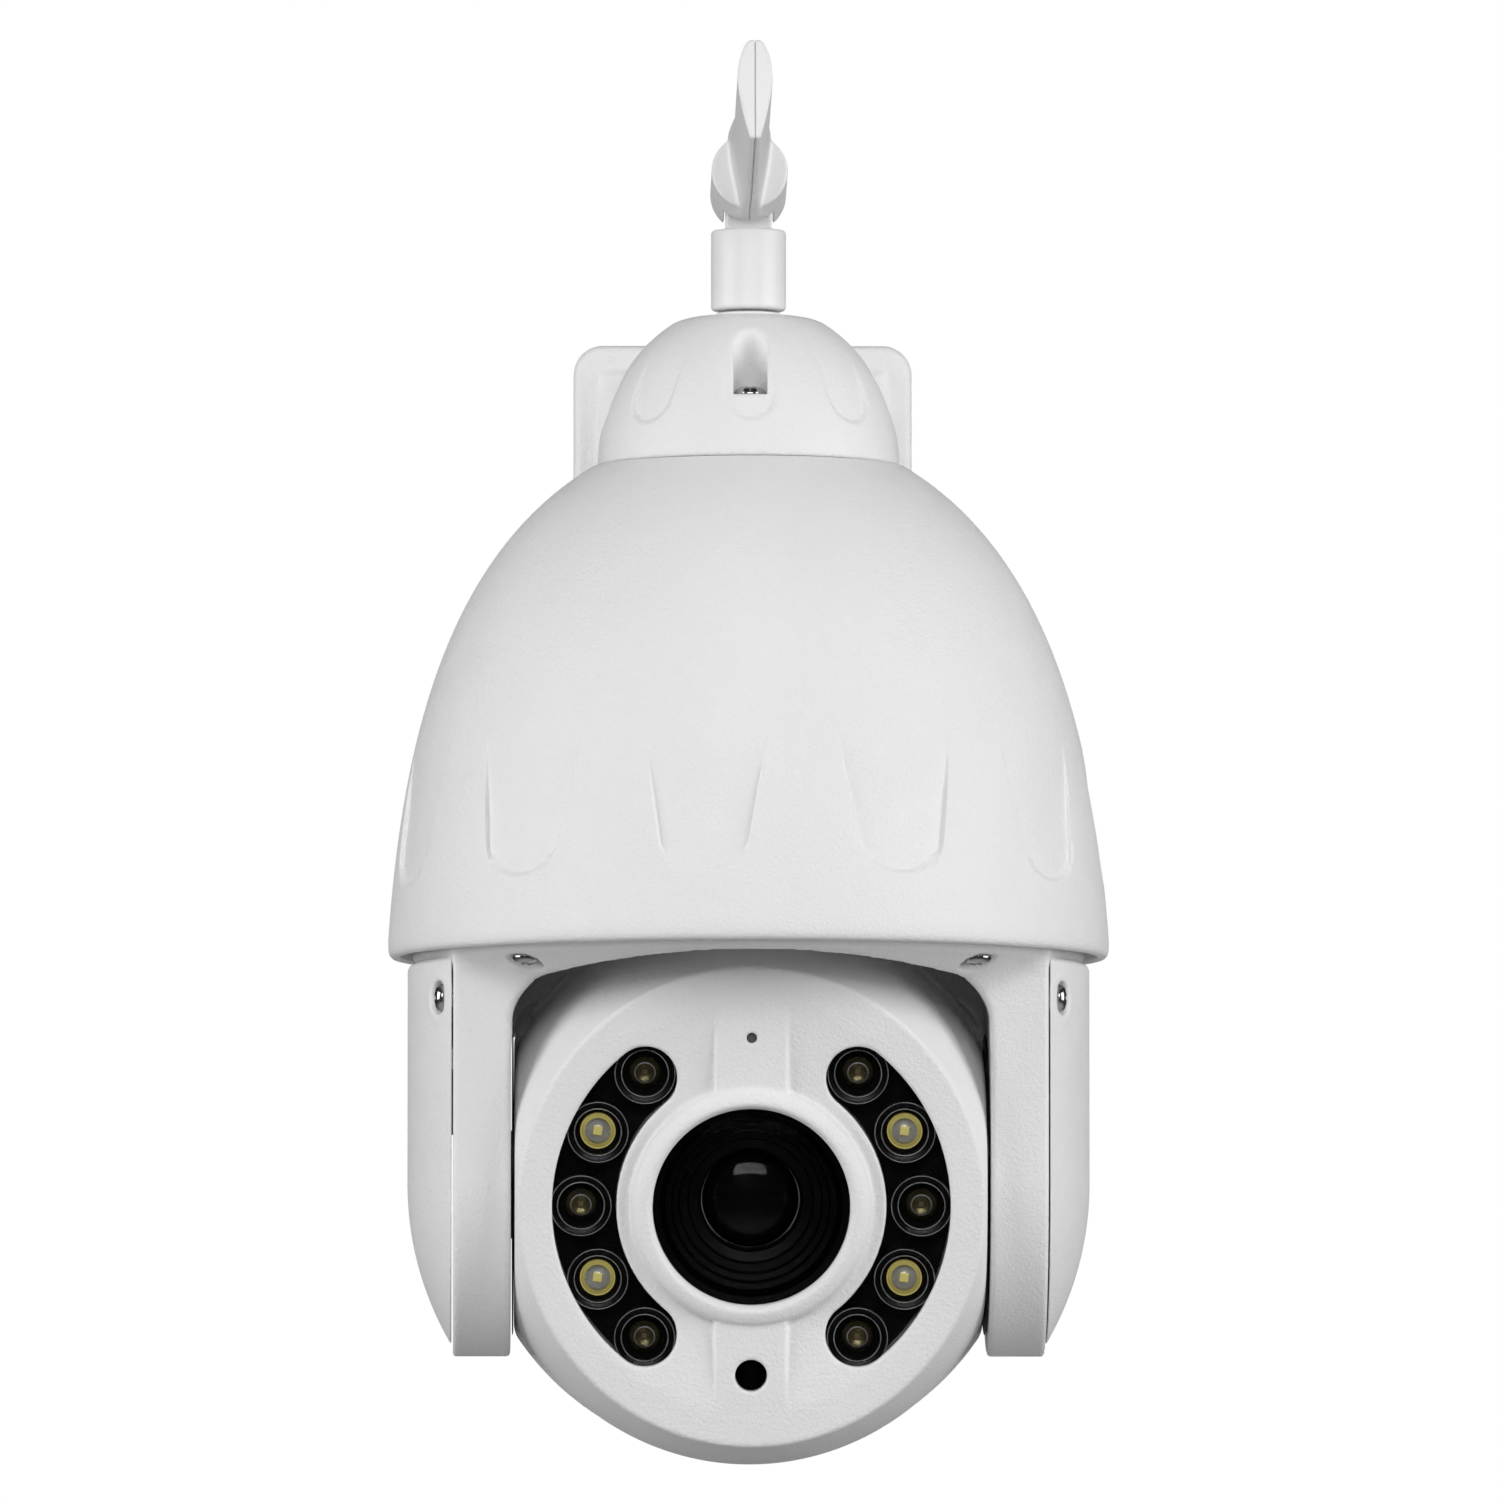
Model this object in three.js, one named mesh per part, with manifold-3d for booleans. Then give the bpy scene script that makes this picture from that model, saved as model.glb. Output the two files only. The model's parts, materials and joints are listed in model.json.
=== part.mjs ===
// Outdoor pan-tilt dome camera on a wall bracket, in millimetres, +Z up, front towards -Y.
// The exported group's origin is the centre of the wall plate's back face. Most pieces are drawn
// around the point where the pan and tilt axes cross, which is the centre of the camera ball.
import * as THREE from "three";
import { mergeVertices } from "three/addons/utils/BufferGeometryUtils.js";
import Module from "manifold-3d";

const wasm = await Module();
wasm.setup();

// ---- Driving dimensions ----
const HOOD = { rimRadius: 71.7, rimZ: 45.1, topZ: 143.5, wall: 2.5 };
// Control points of the hood's outside as [radius, height].
const HOOD_CURVE = [[72, 48.8], [69.3, 89], [60.2, 126], [31.5, HOOD.topZ]];
const CAP = { radius: 30.2, halfHeight: 33.3, centreZ: 143.6, baseZ: 143.8, topZ: 173.8 };
const PLATE = { width: 69, height: 100, thick: 8, corner: 6, bevel: 1.6 };
const WALL_Y = 86; // from the pan axis back to the wall
const PLATE_Z = 125; // from the tilt axis up to the plate's centre
const BALL = { radius: 55.4, wall: 2.5, flatX: 46.8, stretch: 78.6, seamY: 16 };
const YOKE = { radius: 67.1, armInnerX: 47.3, armOuterX: 59, armHalf: 34.3, underZ: 38, topZ: 65.6 };
const OPENING = { corner: 7, arch: 224, archTop: 43.3 }; // between the arms, seen from the front
const BEVEL = { radius: 54, slope: 0.481, wall: 1.2 }; // under the crown, rising outwards
const YOKE_CAVITY = 63.6; // clears the face's edge as the head tilts
const YOKE_SKIRT = { z: 31.5, fromY: 30, innerRadius: 48 }; // behind the head, between the arms
const YOKE_WELL = { halfWidth: 46.2, topZ: 62 }; // the room above the head
const COVER_RADIUS = 68.1;
const COVER_TOP_Z = 43.9;
const REST_TILT = 9; // degrees below level
const REST_FOLD = 82.5; // degrees the antenna paddle leans forward from upright
const HINGE_Z = 199.6;
const GAP = 0.2; // between pieces that touch
const SMOOTH = 0.35; // half of the share of the asked segments that a turned piece gets
const LED_CIRCLE = 33.7;
const LED_ANGLES = [51.3, 25.7, 0, -25.7, -51.3];
const CAP_SCREW_ANGLES = { front: -90, left: 135, right: 45 };
const CAP_SCREW_CIRCLE = 22;
const YOKE_SCREW = { x: 44.7, y: 43.5 };
const COVER_SCREW = { y: 28, z: 35.8 };
const PAN_GEAR = { teeth: 72, pinion: 12, module: 1, z: 69.1, thick: 4 };
const TILT_GEAR = { teeth: 44, pinion: 12, module: 0.8, x: 51.9, thick: 3.5 };

const rad = THREE.MathUtils.degToRad;
const steps = (n, f) => Array.from({ length: n + 1 }, (_, i) => f(i / n));
const arc = (cx, cy, r, from, to, n) =>
  steps(n, (t) => {
    const a = rad(from + (to - from) * t);
    return [cx + r * Math.cos(a), cy + r * Math.sin(a)];
  });

// ---- Solids ----
// A closed geometry as a manifold-3d solid that faces outwards.
function solid(geometry) {
  const bare = geometry.clone();
  bare.deleteAttribute("normal");
  bare.deleteAttribute("uv");
  const merged = mergeVertices(bare, 1e-4);
  const index = merged.index.array;
  const triangles = [];
  for (let i = 0; i < index.length; i += 3) {
    const [a, b, c] = [index[i], index[i + 1], index[i + 2]];
    if (a !== b && b !== c && c !== a) triangles.push(a, b, c);
  }
  const make = (list) =>
    new wasm.Manifold(
      new wasm.Mesh({
        numProp: 3,
        vertProperties: new Float32Array(merged.attributes.position.array),
        triVerts: new Uint32Array(list),
      }),
    );
  const made = make(triangles);
  return made.volume() < 0 ? make(triangles.reverse()) : made;
}

function geometryOf(body) {
  const mesh = body.getMesh();
  const positions = new Float32Array(mesh.numVert * 3);
  for (let i = 0; i < mesh.numVert; i++) {
    const at = i * mesh.numProp;
    positions.set(mesh.vertProperties.subarray(at, at + 3), i * 3);
  }
  const geometry = new THREE.BufferGeometry()
    .setAttribute("position", new THREE.BufferAttribute(positions, 3))
    .setIndex(new THREE.BufferAttribute(mesh.triVerts, 1));
  geometry.computeVertexNormals();
  return geometry;
}

const join = (...bodies) => bodies.reduce((a, b) => a.add(b));
const cut = (body, ...tools) => tools.reduce((a, b) => a.subtract(b), body);

const block = (x0, x1, y0, y1, z0, z1) =>
  solid(
    new THREE.BoxGeometry(x1 - x0, y1 - y0, z1 - z0).translate(
      (x0 + x1) / 2,
      (y0 + y1) / 2,
      (z0 + z1) / 2,
    ),
  );

// Turns a [radius, height] profile about Z. A ring's profile is closed here.
function turnedZ(profile, segments = 32) {
  const onAxis = profile[0][0] === 0 && profile.at(-1)[0] === 0;
  const points = (onAxis ? profile : [...profile, profile[0]]).map((p) => new THREE.Vector2(...p));
  const turns = Math.max(8, 2 * Math.round(segments * SMOOTH));
  return solid(new THREE.LatheGeometry(points, turns).rotateX(Math.PI / 2));
}
const turnedX = (profile, segments) => turnedZ(profile, segments).rotate([0, 90, 0]);
// The heights run backwards along -Y, so a profile's height is its own y.
const turnedY = (profile, segments) => turnedZ(profile, segments).rotate([-90, 0, 0]);
const tube = (inner, outer, from, to) => [
  [inner, from],
  [outer, from],
  [outer, to],
  [inner, to],
];
const disc = (radius, from, to) => [
  [0, from],
  [radius, from],
  [radius, to],
  [0, to],
];
const rodX = (radius, x0, x1, y, z, n = 20) => turnedX(disc(radius, x0, x1), n).translate([0, y, z]);
const rodY = (radius, y0, y1, x, z, n = 20) => turnedY(disc(radius, y0, y1), n).translate([x, 0, z]);
const rodZ = (radius, z0, z1, x, y, n = 20) => turnedZ(disc(radius, z0, z1), n).translate([x, y, 0]);

function outline(points) {
  return new THREE.Shape(points.map((p) => new THREE.Vector2(...p)));
}
const slab = (points, depth) =>
  new THREE.ExtrudeGeometry(outline(points), { depth, bevelEnabled: false });
// [y, z] outline carried along X, and [x, z] outline carried along Y.
const slabX = (points, x0, x1) =>
  solid(slab(points, x1 - x0).rotateX(Math.PI / 2).rotateZ(Math.PI / 2).translate(x0, 0, 0));
const slabY = (points, y0, y1) =>
  solid(slab(points, y1 - y0).rotateX(Math.PI / 2).translate(0, y1, 0));
const slabZ = (points, z0, z1) => solid(slab(points, z1 - z0).translate(0, 0, z0));

// Skins a row of rings of [x, y, z] points, all of one length, and closes both ends.
function loft(rings) {
  const n = rings[0].length;
  const triangles = [];
  for (let k = 0; k + 1 < rings.length; k++)
    for (let i = 0; i < n; i++) {
      const [a, b] = [k * n + i, k * n + ((i + 1) % n)];
      triangles.push(a, b, a + n, b, b + n, a + n);
    }
  const last = (rings.length - 1) * n;
  for (let i = 1; i + 1 < n; i++) {
    triangles.push(0, i + 1, i);
    triangles.push(last, last + i, last + i + 1);
  }
  const geometry = new THREE.BufferGeometry()
    .setAttribute("position", new THREE.Float32BufferAttribute(rings.flat(2), 3))
    .setIndex(triangles);
  return solid(geometry);
}

// A rectangle with round corners about (0, cz), as [x, z] points.
function roundedRect(width, height, corner, cz = 0, n = 4) {
  const [x, z] = [width / 2 - corner, height / 2 - corner];
  return [
    ...arc(x, cz + z, corner, 0, 90, n),
    ...arc(-x, cz + z, corner, 90, 180, n),
    ...arc(-x, cz - z, corner, 180, 270, n),
    ...arc(x, cz - z, corner, 270, 360, n),
  ];
}
const atY = (points, y) => points.map(([x, z]) => [x, y, z]);

// ---- Materials ----
const material = (color, roughness, metalness, more = {}) =>
  new THREE.MeshStandardMaterial({ color, roughness, metalness, ...more });
const MATERIALS = {
  shell: material(0xe6e6e4, 0.6, 0),
  antenna: material(0xe4e4e2, 0.45, 0),
  steel: material(0xb9bbbe, 0.25, 1),
  brass: material(0xc9a552, 0.3, 1),
  rubber: material(0x1b1b1c, 0.85, 0),
  black: material(0x111112, 0.5, 0),
  gear: material(0xf1efe6, 0.5, 0),
  board: material(0x0f3a24, 0.55, 0),
  glass: material(0x0b0c10, 0.04, 0, { transparent: true, opacity: 0.45 }),
  optic: material(0xdfe6e2, 0.08, 0, { transparent: true, opacity: 0.5 }),
};
function add(group, name, body, slot) {
  const mesh = new THREE.Mesh(geometryOf(body), MATERIALS[slot]);
  mesh.name = name;
  group.add(mesh);
}

// ---- Fasteners ----
// Pan-head screw along Z, head up, with the underside of its head at z = 0.
function screw({ head, headHeight, shank, length }) {
  const crown = [
    [0, headHeight],
    [head * 0.6, headHeight * 0.93],
    [head * 0.92, headHeight * 0.55],
    [head, 0],
    [shank, 0],
    [shank, -length],
    [0, -length],
  ];
  const slotHalf = head * 0.13;
  const slotLong = head * 0.55;
  const recess = join(
    block(-slotLong, slotLong, -slotHalf, slotHalf, headHeight * 0.4, headHeight + 1),
    block(-slotHalf, slotHalf, -slotLong, slotLong, headHeight * 0.4, headHeight + 1),
  );
  return cut(turnedZ(crown, 16), recess);
}
const CAP_SCREW = { head: 3, headHeight: 2.3, shank: 1.6, length: 19 };
const M3_SCREW = { head: 2.9, headHeight: 2, shank: 1.4, length: 24 };
const COVER_SCREW_SIZE = { head: 2.9, headHeight: 1.9, shank: 1.15, length: 8 };

// ---- Gears ----
// Involute spur gear outline, standing from the root circle to the tip circle, thinned for backlash.
function gearOutline(teeth, module, turn = 0) {
  const pitch = (teeth * module) / 2;
  const base = pitch * Math.cos(rad(20));
  const tip = pitch + 0.85 * module;
  const root = pitch - 1.2 * module;
  const involute = (r) => {
    const a = Math.acos(Math.min(1, base / r));
    return Math.tan(a) - a;
  };
  const halfAtPitch = Math.PI / 2 / teeth - (0.09 * module) / pitch;
  const half = (r) => halfAtPitch + involute(pitch) - involute(Math.max(r, base));
  const flank = [root, pitch, tip];
  const points = [];
  for (let k = 0; k < teeth; k++) {
    const centre = (2 * Math.PI * k) / teeth + turn;
    for (const r of flank) points.push([r, centre - half(r)]);
    for (const r of [...flank].reverse()) points.push([r, centre + half(r)]);
  }
  return points.map(([r, a]) => [r * Math.cos(a), r * Math.sin(a)]);
}

// ---- Fixed pieces: bracket, hood and pan base ----
function hoodPoint(t, inset = 0) {
  const weights = [(1 - t) ** 3, 3 * t * (1 - t) ** 2, 3 * t * t * (1 - t), t ** 3];
  const along = (axis) => weights.reduce((sum, w, i) => sum + w * HOOD_CURVE[i][axis], 0);
  return [along(0) - inset, along(1) - inset * t];
}
const capRadius = (z) => CAP.radius * Math.sqrt(1 - ((z - CAP.centreZ) / CAP.halfHeight) ** 2);
const capScrewAt = (angle) => [
  CAP_SCREW_CIRCLE * Math.cos(rad(angle)),
  CAP_SCREW_CIRCLE * Math.sin(rad(angle)),
];
const POCKET_FLOOR_Z = 156.2;
const CABLE = { z: 157, radius: 8 };
const JACK = { bore: 3.4, barrel: 3.2, flange: 6.6 };

function wallBracket() {
  const dome = turnedZ(
    [
      [0, CAP.baseZ],
      ...steps(10, (t) => {
        const z = CAP.baseZ + (CAP.topZ - CAP.baseZ) * Math.sin((t * Math.PI) / 2);
        return [capRadius(z), z];
      }),
      [0, CAP.topZ],
    ],
    40,
  );
  const plateFront = WALL_Y - PLATE.thick;
  const rim = roundedRect(PLATE.width, PLATE.height, PLATE.corner, PLATE_Z);
  const inner = roundedRect(
    PLATE.width - 2 * PLATE.bevel,
    PLATE.height - 2 * PLATE.bevel,
    PLATE.corner - PLATE.bevel,
    PLATE_Z,
  );
  const plate = loft([
    atY(inner, plateFront),
    atY(rim, plateFront + PLATE.bevel),
    atY(rim, WALL_Y),
  ]);
  const armSection = (width, height, corner, y) =>
    atY(roundedRect(width, height, corner, CABLE.z - 0.5), y);
  const arm = loft([
    armSection(36, 24, 8, 8),
    armSection(36, 24, 8, 48),
    armSection(38, 25, 8, 62),
    armSection(44, 30, 9, 71),
    armSection(54, 36, 10, plateFront + 1),
  ]);
  const chamber = turnedZ([
    [0, CAP.baseZ - 1],
    [16.5, CAP.baseZ - 1],
    [16.5, 159],
    [12, 168],
    [0, 169.5],
  ]);
  const pockets = Object.values(CAP_SCREW_ANGLES).map((angle) => {
    const [x, y] = capScrewAt(angle);
    const [half, above] = [3.4, CAP.topZ + 6];
    const mouth = block(0, 14, -half, half, POCKET_FLOOR_Z, above).rotate([0, 0, angle]);
    const bore = rodZ(half, POCKET_FLOOR_Z, above, x, y, 20);
    return join(mouth.translate([x, y, 0]), bore, rodZ(1.9, 140, POCKET_FLOOR_Z + 1, x, y, 12));
  });
  const wallHoles = [-26, 26].flatMap((x) =>
    [-41, 7].map((z) =>
      join(
        rodY(2.6, plateFront - 1, WALL_Y + 1, x, PLATE_Z + z, 16),
        rodY(4.6, plateFront - 4, plateFront + 3, x, PLATE_Z + z, 16),
      ),
    ),
  );
  return cut(
    join(dome, plate, arm),
    chamber,
    rodY(CABLE.radius, 5, WALL_Y + 1, 0, CABLE.z, 20),
    rodZ(JACK.bore, 165, 180, 0, 0, 16),
    ...pockets,
    ...wallHoles,
  );
}

function hood() {
  const shell = turnedZ(
    [
      [HOOD.rimRadius - 0.5, HOOD.rimZ],
      [HOOD.rimRadius, HOOD.rimZ + 0.6],
      ...steps(12, (t) => hoodPoint(t)),
      [9, HOOD.topZ],
      [9, HOOD.topZ - 3],
      [28, HOOD.topZ - 3],
      ...steps(9, (t) => hoodPoint(0.94 * (1 - t), HOOD.wall)),
      [HOOD.rimRadius - HOOD.wall, HOOD.rimZ],
    ],
    48,
  );
  const ledge = turnedZ(tube(61, 66.6, BASE_Z + 3.2, BASE_Z + 6), 48);
  const bosses = Object.values(CAP_SCREW_ANGLES).map((angle) =>
    rodZ(4, 132, HOOD.topZ - 1, ...capScrewAt(angle), 12),
  );
  const holes = Object.values(CAP_SCREW_ANGLES).map((angle) =>
    rodZ(1.75, 134, HOOD.topZ + 1, ...capScrewAt(angle), 12),
  );
  return cut(join(shell, ledge, ...bosses), ...holes);
}

const MOTOR_Y = (PAN_GEAR.module * (PAN_GEAR.teeth + PAN_GEAR.pinion)) / 2;
const BASE_Z = 77.9;
const BOARD_Z = 102.6;
const BASE_POSTS = [-90, 25, 155];

function basePlate() {
  const plate = turnedZ(tube(21, 64.6, BASE_Z, BASE_Z + 3), 48);
  const seat = turnedZ(tube(21, 24, BASE_Z, BASE_Z + 8));
  const posts = BASE_POSTS.map((angle) =>
    rodZ(3, BASE_Z + 2, BOARD_Z, 50 * Math.cos(rad(angle)), 50 * Math.sin(rad(angle)), 12),
  );
  return cut(join(plate, seat, ...posts), rodZ(7.5, BASE_Z - 1, BASE_Z + 4, 0, MOTOR_Y, 20));
}

function mainBoard() {
  const board = turnedZ(tube(15, 53, BOARD_Z + GAP, BOARD_Z + 1.8), 40);
  const chips = [
    [-30, -12, -28, -12, 3],
    [12, 26, -30, -18, 2.5],
    [-26, -8, 20, 40, 9],
    [16, 34, 14, 30, 5],
  ].map(([x0, x1, y0, y1, h]) => block(x0, x1, y0, y1, BOARD_Z + 1, BOARD_Z + 1.8 + h));
  return join(board, ...chips);
}

function panMotor() {
  const z = BASE_Z + 3 + GAP;
  const can = rodZ(14, z, z + 19, 0, MOTOR_Y, 28);
  const ears = slabZ(
    roundedRect(42, 8, 3.9).map(([x, y]) => [x, y + MOTOR_Y]),
    z,
    z + 1,
  );
  const holes = [-17.5, 17.5].map((x) => rodZ(1.7, z - 1, z + 2, x, MOTOR_Y, 12));
  return cut(join(can, ears), rodZ(2.3, z - 1, z + 4, 0, MOTOR_Y, 12), ...holes);
}

// The pinion stands on its motor's shaft, which turns with it.
function panPinion() {
  const { teeth, pinion, module, z, thick } = PAN_GEAR;
  const turn = Math.PI / 2 + (pinion % 2 ? 0 : Math.PI / pinion) + (teeth % 2 ? Math.PI / pinion : 0);
  return join(
    slabZ(gearOutline(pinion, module, turn), z, z + thick + 0.6),
    rodZ(2, z + thick, BASE_Z + 6, 0, 0, 12),
  );
}

// ---- Pan pieces: turntable, yoke and arms ----
const yokeScrews = {};
for (const [end, y] of [["front", -1], ["rear", 1]])
  for (const [side, x] of [["left", -1], ["right", 1]])
    yokeScrews[`yoke_screw_${end}_${side}`] = [x * YOKE_SCREW.x, y * YOKE_SCREW.y];

const TABLE_Z = YOKE.topZ + GAP;
function turntable() {
  const plate = turnedZ(
    [
      [8, TABLE_Z],
      [66, TABLE_Z],
      [66, TABLE_Z + 3],
      [12, TABLE_Z + 3],
      [12, BASE_Z + 12.3],
      [8, BASE_Z + 12.3],
    ],
    40,
  );
  const holes = Object.values(yokeScrews).map(([x, y]) => rodZ(1.7, TABLE_Z - 1, TABLE_Z + 4, x, y, 12));
  return cut(plate, ...holes);
}

const hubNut = () =>
  cut(
    slabZ(arc(0, 0, 16.5, 0, 300, 5), BASE_Z + 8.2, BASE_Z + 12),
    rodZ(12.3, BASE_Z, BASE_Z + 20, 0, 0, 40),
  );

// The arm's side outline as [y, z]: straight sides that flare into the crown, and a round foot.
function armOutline(half, topZ, flare = 0) {
  const side = flare ? arc(-half - flare, topZ - flare, flare, 90, 0, 3) : [[-half, topZ]];
  return [
    ...side,
    ...arc(0, 0, half, 180, 360, 14),
    ...side.map(([y, z]) => [-y, z]).reverse(),
  ];
}

// The opening between the arms as [x, z]: upright sides, round corners and a shallow arch.
function openingOutline() {
  const { corner, arch, archTop } = OPENING;
  const cx = YOKE.armInnerX - corner;
  const archZ = archTop - arch;
  const cz = archZ + Math.sqrt((arch - corner) ** 2 - cx ** 2);
  const lean = THREE.MathUtils.radToDeg(Math.asin(cx / (arch - corner)));
  return [
    [-YOKE.armInnerX, -YOKE.radius],
    [YOKE.armInnerX, -YOKE.radius],
    ...arc(cx, cz, corner, 0, 90 - lean, 5),
    ...arc(0, archZ, arch, 90 - lean, 90 + lean, 6),
    ...arc(-cx, cz, corner, 90 + lean, 180, 5),
  ];
}

const GEAR_CENTRE = (TILT_GEAR.module * (TILT_GEAR.teeth + TILT_GEAR.pinion)) / 2;
const MOTOR_POST_Y = 17.5;
const ARM_WALL_X = 51.4;

const bothSides = (x0, x1, make) =>
  [-1, 1].map((side) => make(Math.min(side * x0, side * x1), Math.max(side * x0, side * x1)));

// A seat for each screw that holds the yoke up.
const YOKE_SEAT_Z = 43.4;
const yokeSeat = ([x, y]) =>
  join(rodZ(3.4, 36, YOKE_SEAT_Z, x, y, 18), rodZ(1.7, 42, YOKE.topZ + 1, x, y, 12));

// The well as [x, y]: its front and back edges keep a thin wall behind the edge of the arch.
function wellOutline() {
  const { radius, slope, wall } = BEVEL;
  const front = steps(12, (t) => {
    const x = YOKE_WELL.halfWidth * (2 * t - 1);
    const archZ = OPENING.archTop - x ** 2 / (2 * OPENING.arch);
    const reach = radius + (archZ - YOKE.underZ) / slope - wall;
    return [x, -Math.sqrt(reach ** 2 - x ** 2)];
  });
  return [...front, ...front.map(([x, y]) => [x, -y]).reverse()];
}

function yokeCrown() {
  const { radius, armOuterX, underZ, topZ } = YOKE;
  const bevelTopZ = underZ + (radius - BEVEL.radius) * BEVEL.slope;
  const crown = turnedZ(
    [
      [0, underZ],
      [BEVEL.radius, underZ],
      [radius, bevelTopZ],
      [radius, 56],
      [66, 57],
      [66, topZ],
      [0, topZ],
    ],
    48,
  );
  const { z, fromY, innerRadius } = YOKE_SKIRT;
  const skirt = turnedZ(
    [
      [innerRadius, z],
      [radius - 2, z],
      [radius, z + 2],
      [radius, bevelTopZ + 2],
      [innerRadius, bevelTopZ + 2],
    ],
    48,
  );
  return join(crown, skirt.intersect(block(-armOuterX, armOuterX, fromY, radius + 1, 0, topZ)));
}

function yoke() {
  const { armInnerX, armOuterX, armHalf, underZ, radius, topZ } = YOKE;
  const places = Object.values(yokeScrews);
  const cavity = solid(new THREE.SphereGeometry(YOKE_CAVITY, 32, 24)).intersect(between(armInnerX));
  const well = slabZ(wellOutline(), underZ - 8, YOKE_WELL.topZ);
  const legs = slabX(armOutline(armHalf, underZ + 0.5, 3), -armOuterX, armOuterX);
  const roomEdge = armOutline(armHalf - 2.6, underZ + 2);
  const rooms = bothSides(ARM_WALL_X, armOuterX + 1, (a, b) => slabX(roomEdge, a, b));
  const across = (r, x0, x1, y, z, n) => bothSides(x0, x1, (a, b) => rodX(r, a, b, y, z, n));
  const ends = [-1, 1];
  const bosses = ends.flatMap((end) =>
    across(3.4, ARM_WALL_X - 1, armOuterX, end * COVER_SCREW.y, COVER_SCREW.z, 14),
  );
  const bossHoles = ends.flatMap((end) =>
    across(1.35, ARM_WALL_X + 0.4, armOuterX + 1, end * COVER_SCREW.y, COVER_SCREW.z, 10),
  );
  const motorPosts = ends.map((end) =>
    rodX(2.6, -56, -ARM_WALL_X + 1, end * MOTOR_POST_Y, GEAR_CENTRE, 12),
  );
  return cut(
    join(cut(join(yokeCrown(), legs), ...rooms), ...bosses, ...motorPosts),
    slabY(openingOutline(), -radius - 1, armHalf + 1.5),
    cavity,
    well,
    ...across(11, armInnerX - 1, ARM_WALL_X + 1, 0, 0, 28),
    ...bossHoles,
    ...places.map(yokeSeat),
    rodZ(6, YOKE_WELL.topZ - 1, topZ + 1, 0, 0, 16),
  );
}

// The covers are cut from a drum with a round bottom.
function drum(radius, topZ) {
  return turnedZ(
    [
      [0, -radius],
      ...steps(12, (t) => {
        const a = rad(-68 + 68 * t);
        return [radius * Math.cos(a), radius * Math.sin(a)];
      }),
      [radius, topZ],
      [0, topZ],
    ],
    72,
  );
}

function armCover(side) {
  const [from, to] = [YOKE.armOuterX + 0.3, COVER_RADIUS + 1];
  const half = block(Math.min(side * from, side * to), Math.max(side * from, side * to), -60, 60, -60, 60);
  const pocket = (end, radius, x0) => {
    const [a, b] = [side * x0, side * to];
    return rodX(radius, Math.min(a, b), Math.max(a, b), end * COVER_SCREW.y, COVER_SCREW.z, 18);
  };
  const outside = drum(COVER_RADIUS, COVER_TOP_Z);
  const inside = drum(COVER_RADIUS - 2.3, 38.4);
  const crown = turnedZ([[0, 37.7], [54, 37.7], [67.4, 44.1], [67.4, 60], [0, 60]], 48);
  const ends = [-1, 1];
  const tabs = ends.map((end) => pocket(end, 5, from).intersect(outside));
  return cut(
    join(cut(outside, inside).intersect(half), ...tabs),
    crown,
    ...ends.map((end) => pocket(end, 3.3, from + 1.6)),
    ...ends.map((end) => pocket(end, 1.5, from - 1)),
  );
}

function tiltMotor() {
  const back = 56.2;
  const can = rodX(12.5, -back - 8, -back, 0, GEAR_CENTRE, 24);
  const ears = slabX(
    roundedRect(2 * MOTOR_POST_Y + 7, 7, 3.4, GEAR_CENTRE),
    -back - 1,
    -back,
  );
  const holes = [-1, 1].map((end) =>
    rodX(1.2, -back - 2, -back + 1, end * MOTOR_POST_Y, GEAR_CENTRE, 10),
  );
  return cut(join(can, ears), rodX(1.75, -back - 3.5, -back + 1, 0, GEAR_CENTRE, 12), ...holes);
}

function tiltPinion() {
  const { teeth, pinion, module, x, thick } = TILT_GEAR;
  // A tooth of the big gear points up at the mesh, so a gap of the pinion points down at it.
  const turn = -Math.PI / 2 + Math.PI / pinion + (teeth % 4 ? Math.PI / pinion : 0);
  return join(
    slabX(gearOutline(pinion, module, turn), -x - thick, -x),
    rodX(1.5, -x - thick - 3, -x - thick + 1, 0, 0, 12),
  );
}

// ---- Head pieces, drawn level and facing -Y ----
const FACE = { rimY: -40, floorY: -38.4, innerY: -36.2, collarY: -41.2, windowY: -38.8 };
const LED = { boardY: -30.6, lensRadius: 5.7 };
const kidney = (grow) => {
  const [mid, half, end] = [33.1, 6.35 + grow, 50.5];
  const at = [mid * Math.cos(rad(end)), mid * Math.sin(rad(end))];
  return [
    ...arc(0, 0, mid + half, -end, end, 12),
    ...arc(at[0], at[1], half, end, end + 180, 8).slice(1, -1),
    ...arc(0, 0, mid - half, end, -end, 10),
    ...arc(at[0], -at[1], half, -end - 180, -end, 8).slice(1, -1),
  ];
};
const ledAt = (side, angle) => [
  side * LED_CIRCLE * Math.cos(rad(angle)),
  LED_CIRCLE * Math.sin(rad(angle)),
];
const mirrored = (points, side) => (side < 0 ? points.map(([x, z]) => [-x, z]).reverse() : points);

// Points of the ball's section from one y to another, as [radius, y].
function ballArc(radius, fromY, toY, n) {
  const [a, b] = [Math.asin(fromY / radius), Math.asin(toY / radius)];
  return steps(n, (t) => {
    const angle = a + (b - a) * t;
    return [Math.max(0, radius * Math.cos(angle)), radius * Math.sin(angle)];
  });
}
const between = (x) => block(-x, x, -70, 70, -70, 70);

// The head's side as [radius, y]: drawn out in front of the tilt axis, a ball behind it.
const headSide = (inset, fromY, toY, n) =>
  steps(n, (t) => {
    const y = fromY + (toY - fromY) * t;
    const reach = y < 0 ? BALL.stretch : BALL.radius - inset;
    return [(BALL.radius - inset) * Math.sqrt(Math.max(0, 1 - (y / reach) ** 2)), y];
  });

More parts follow.
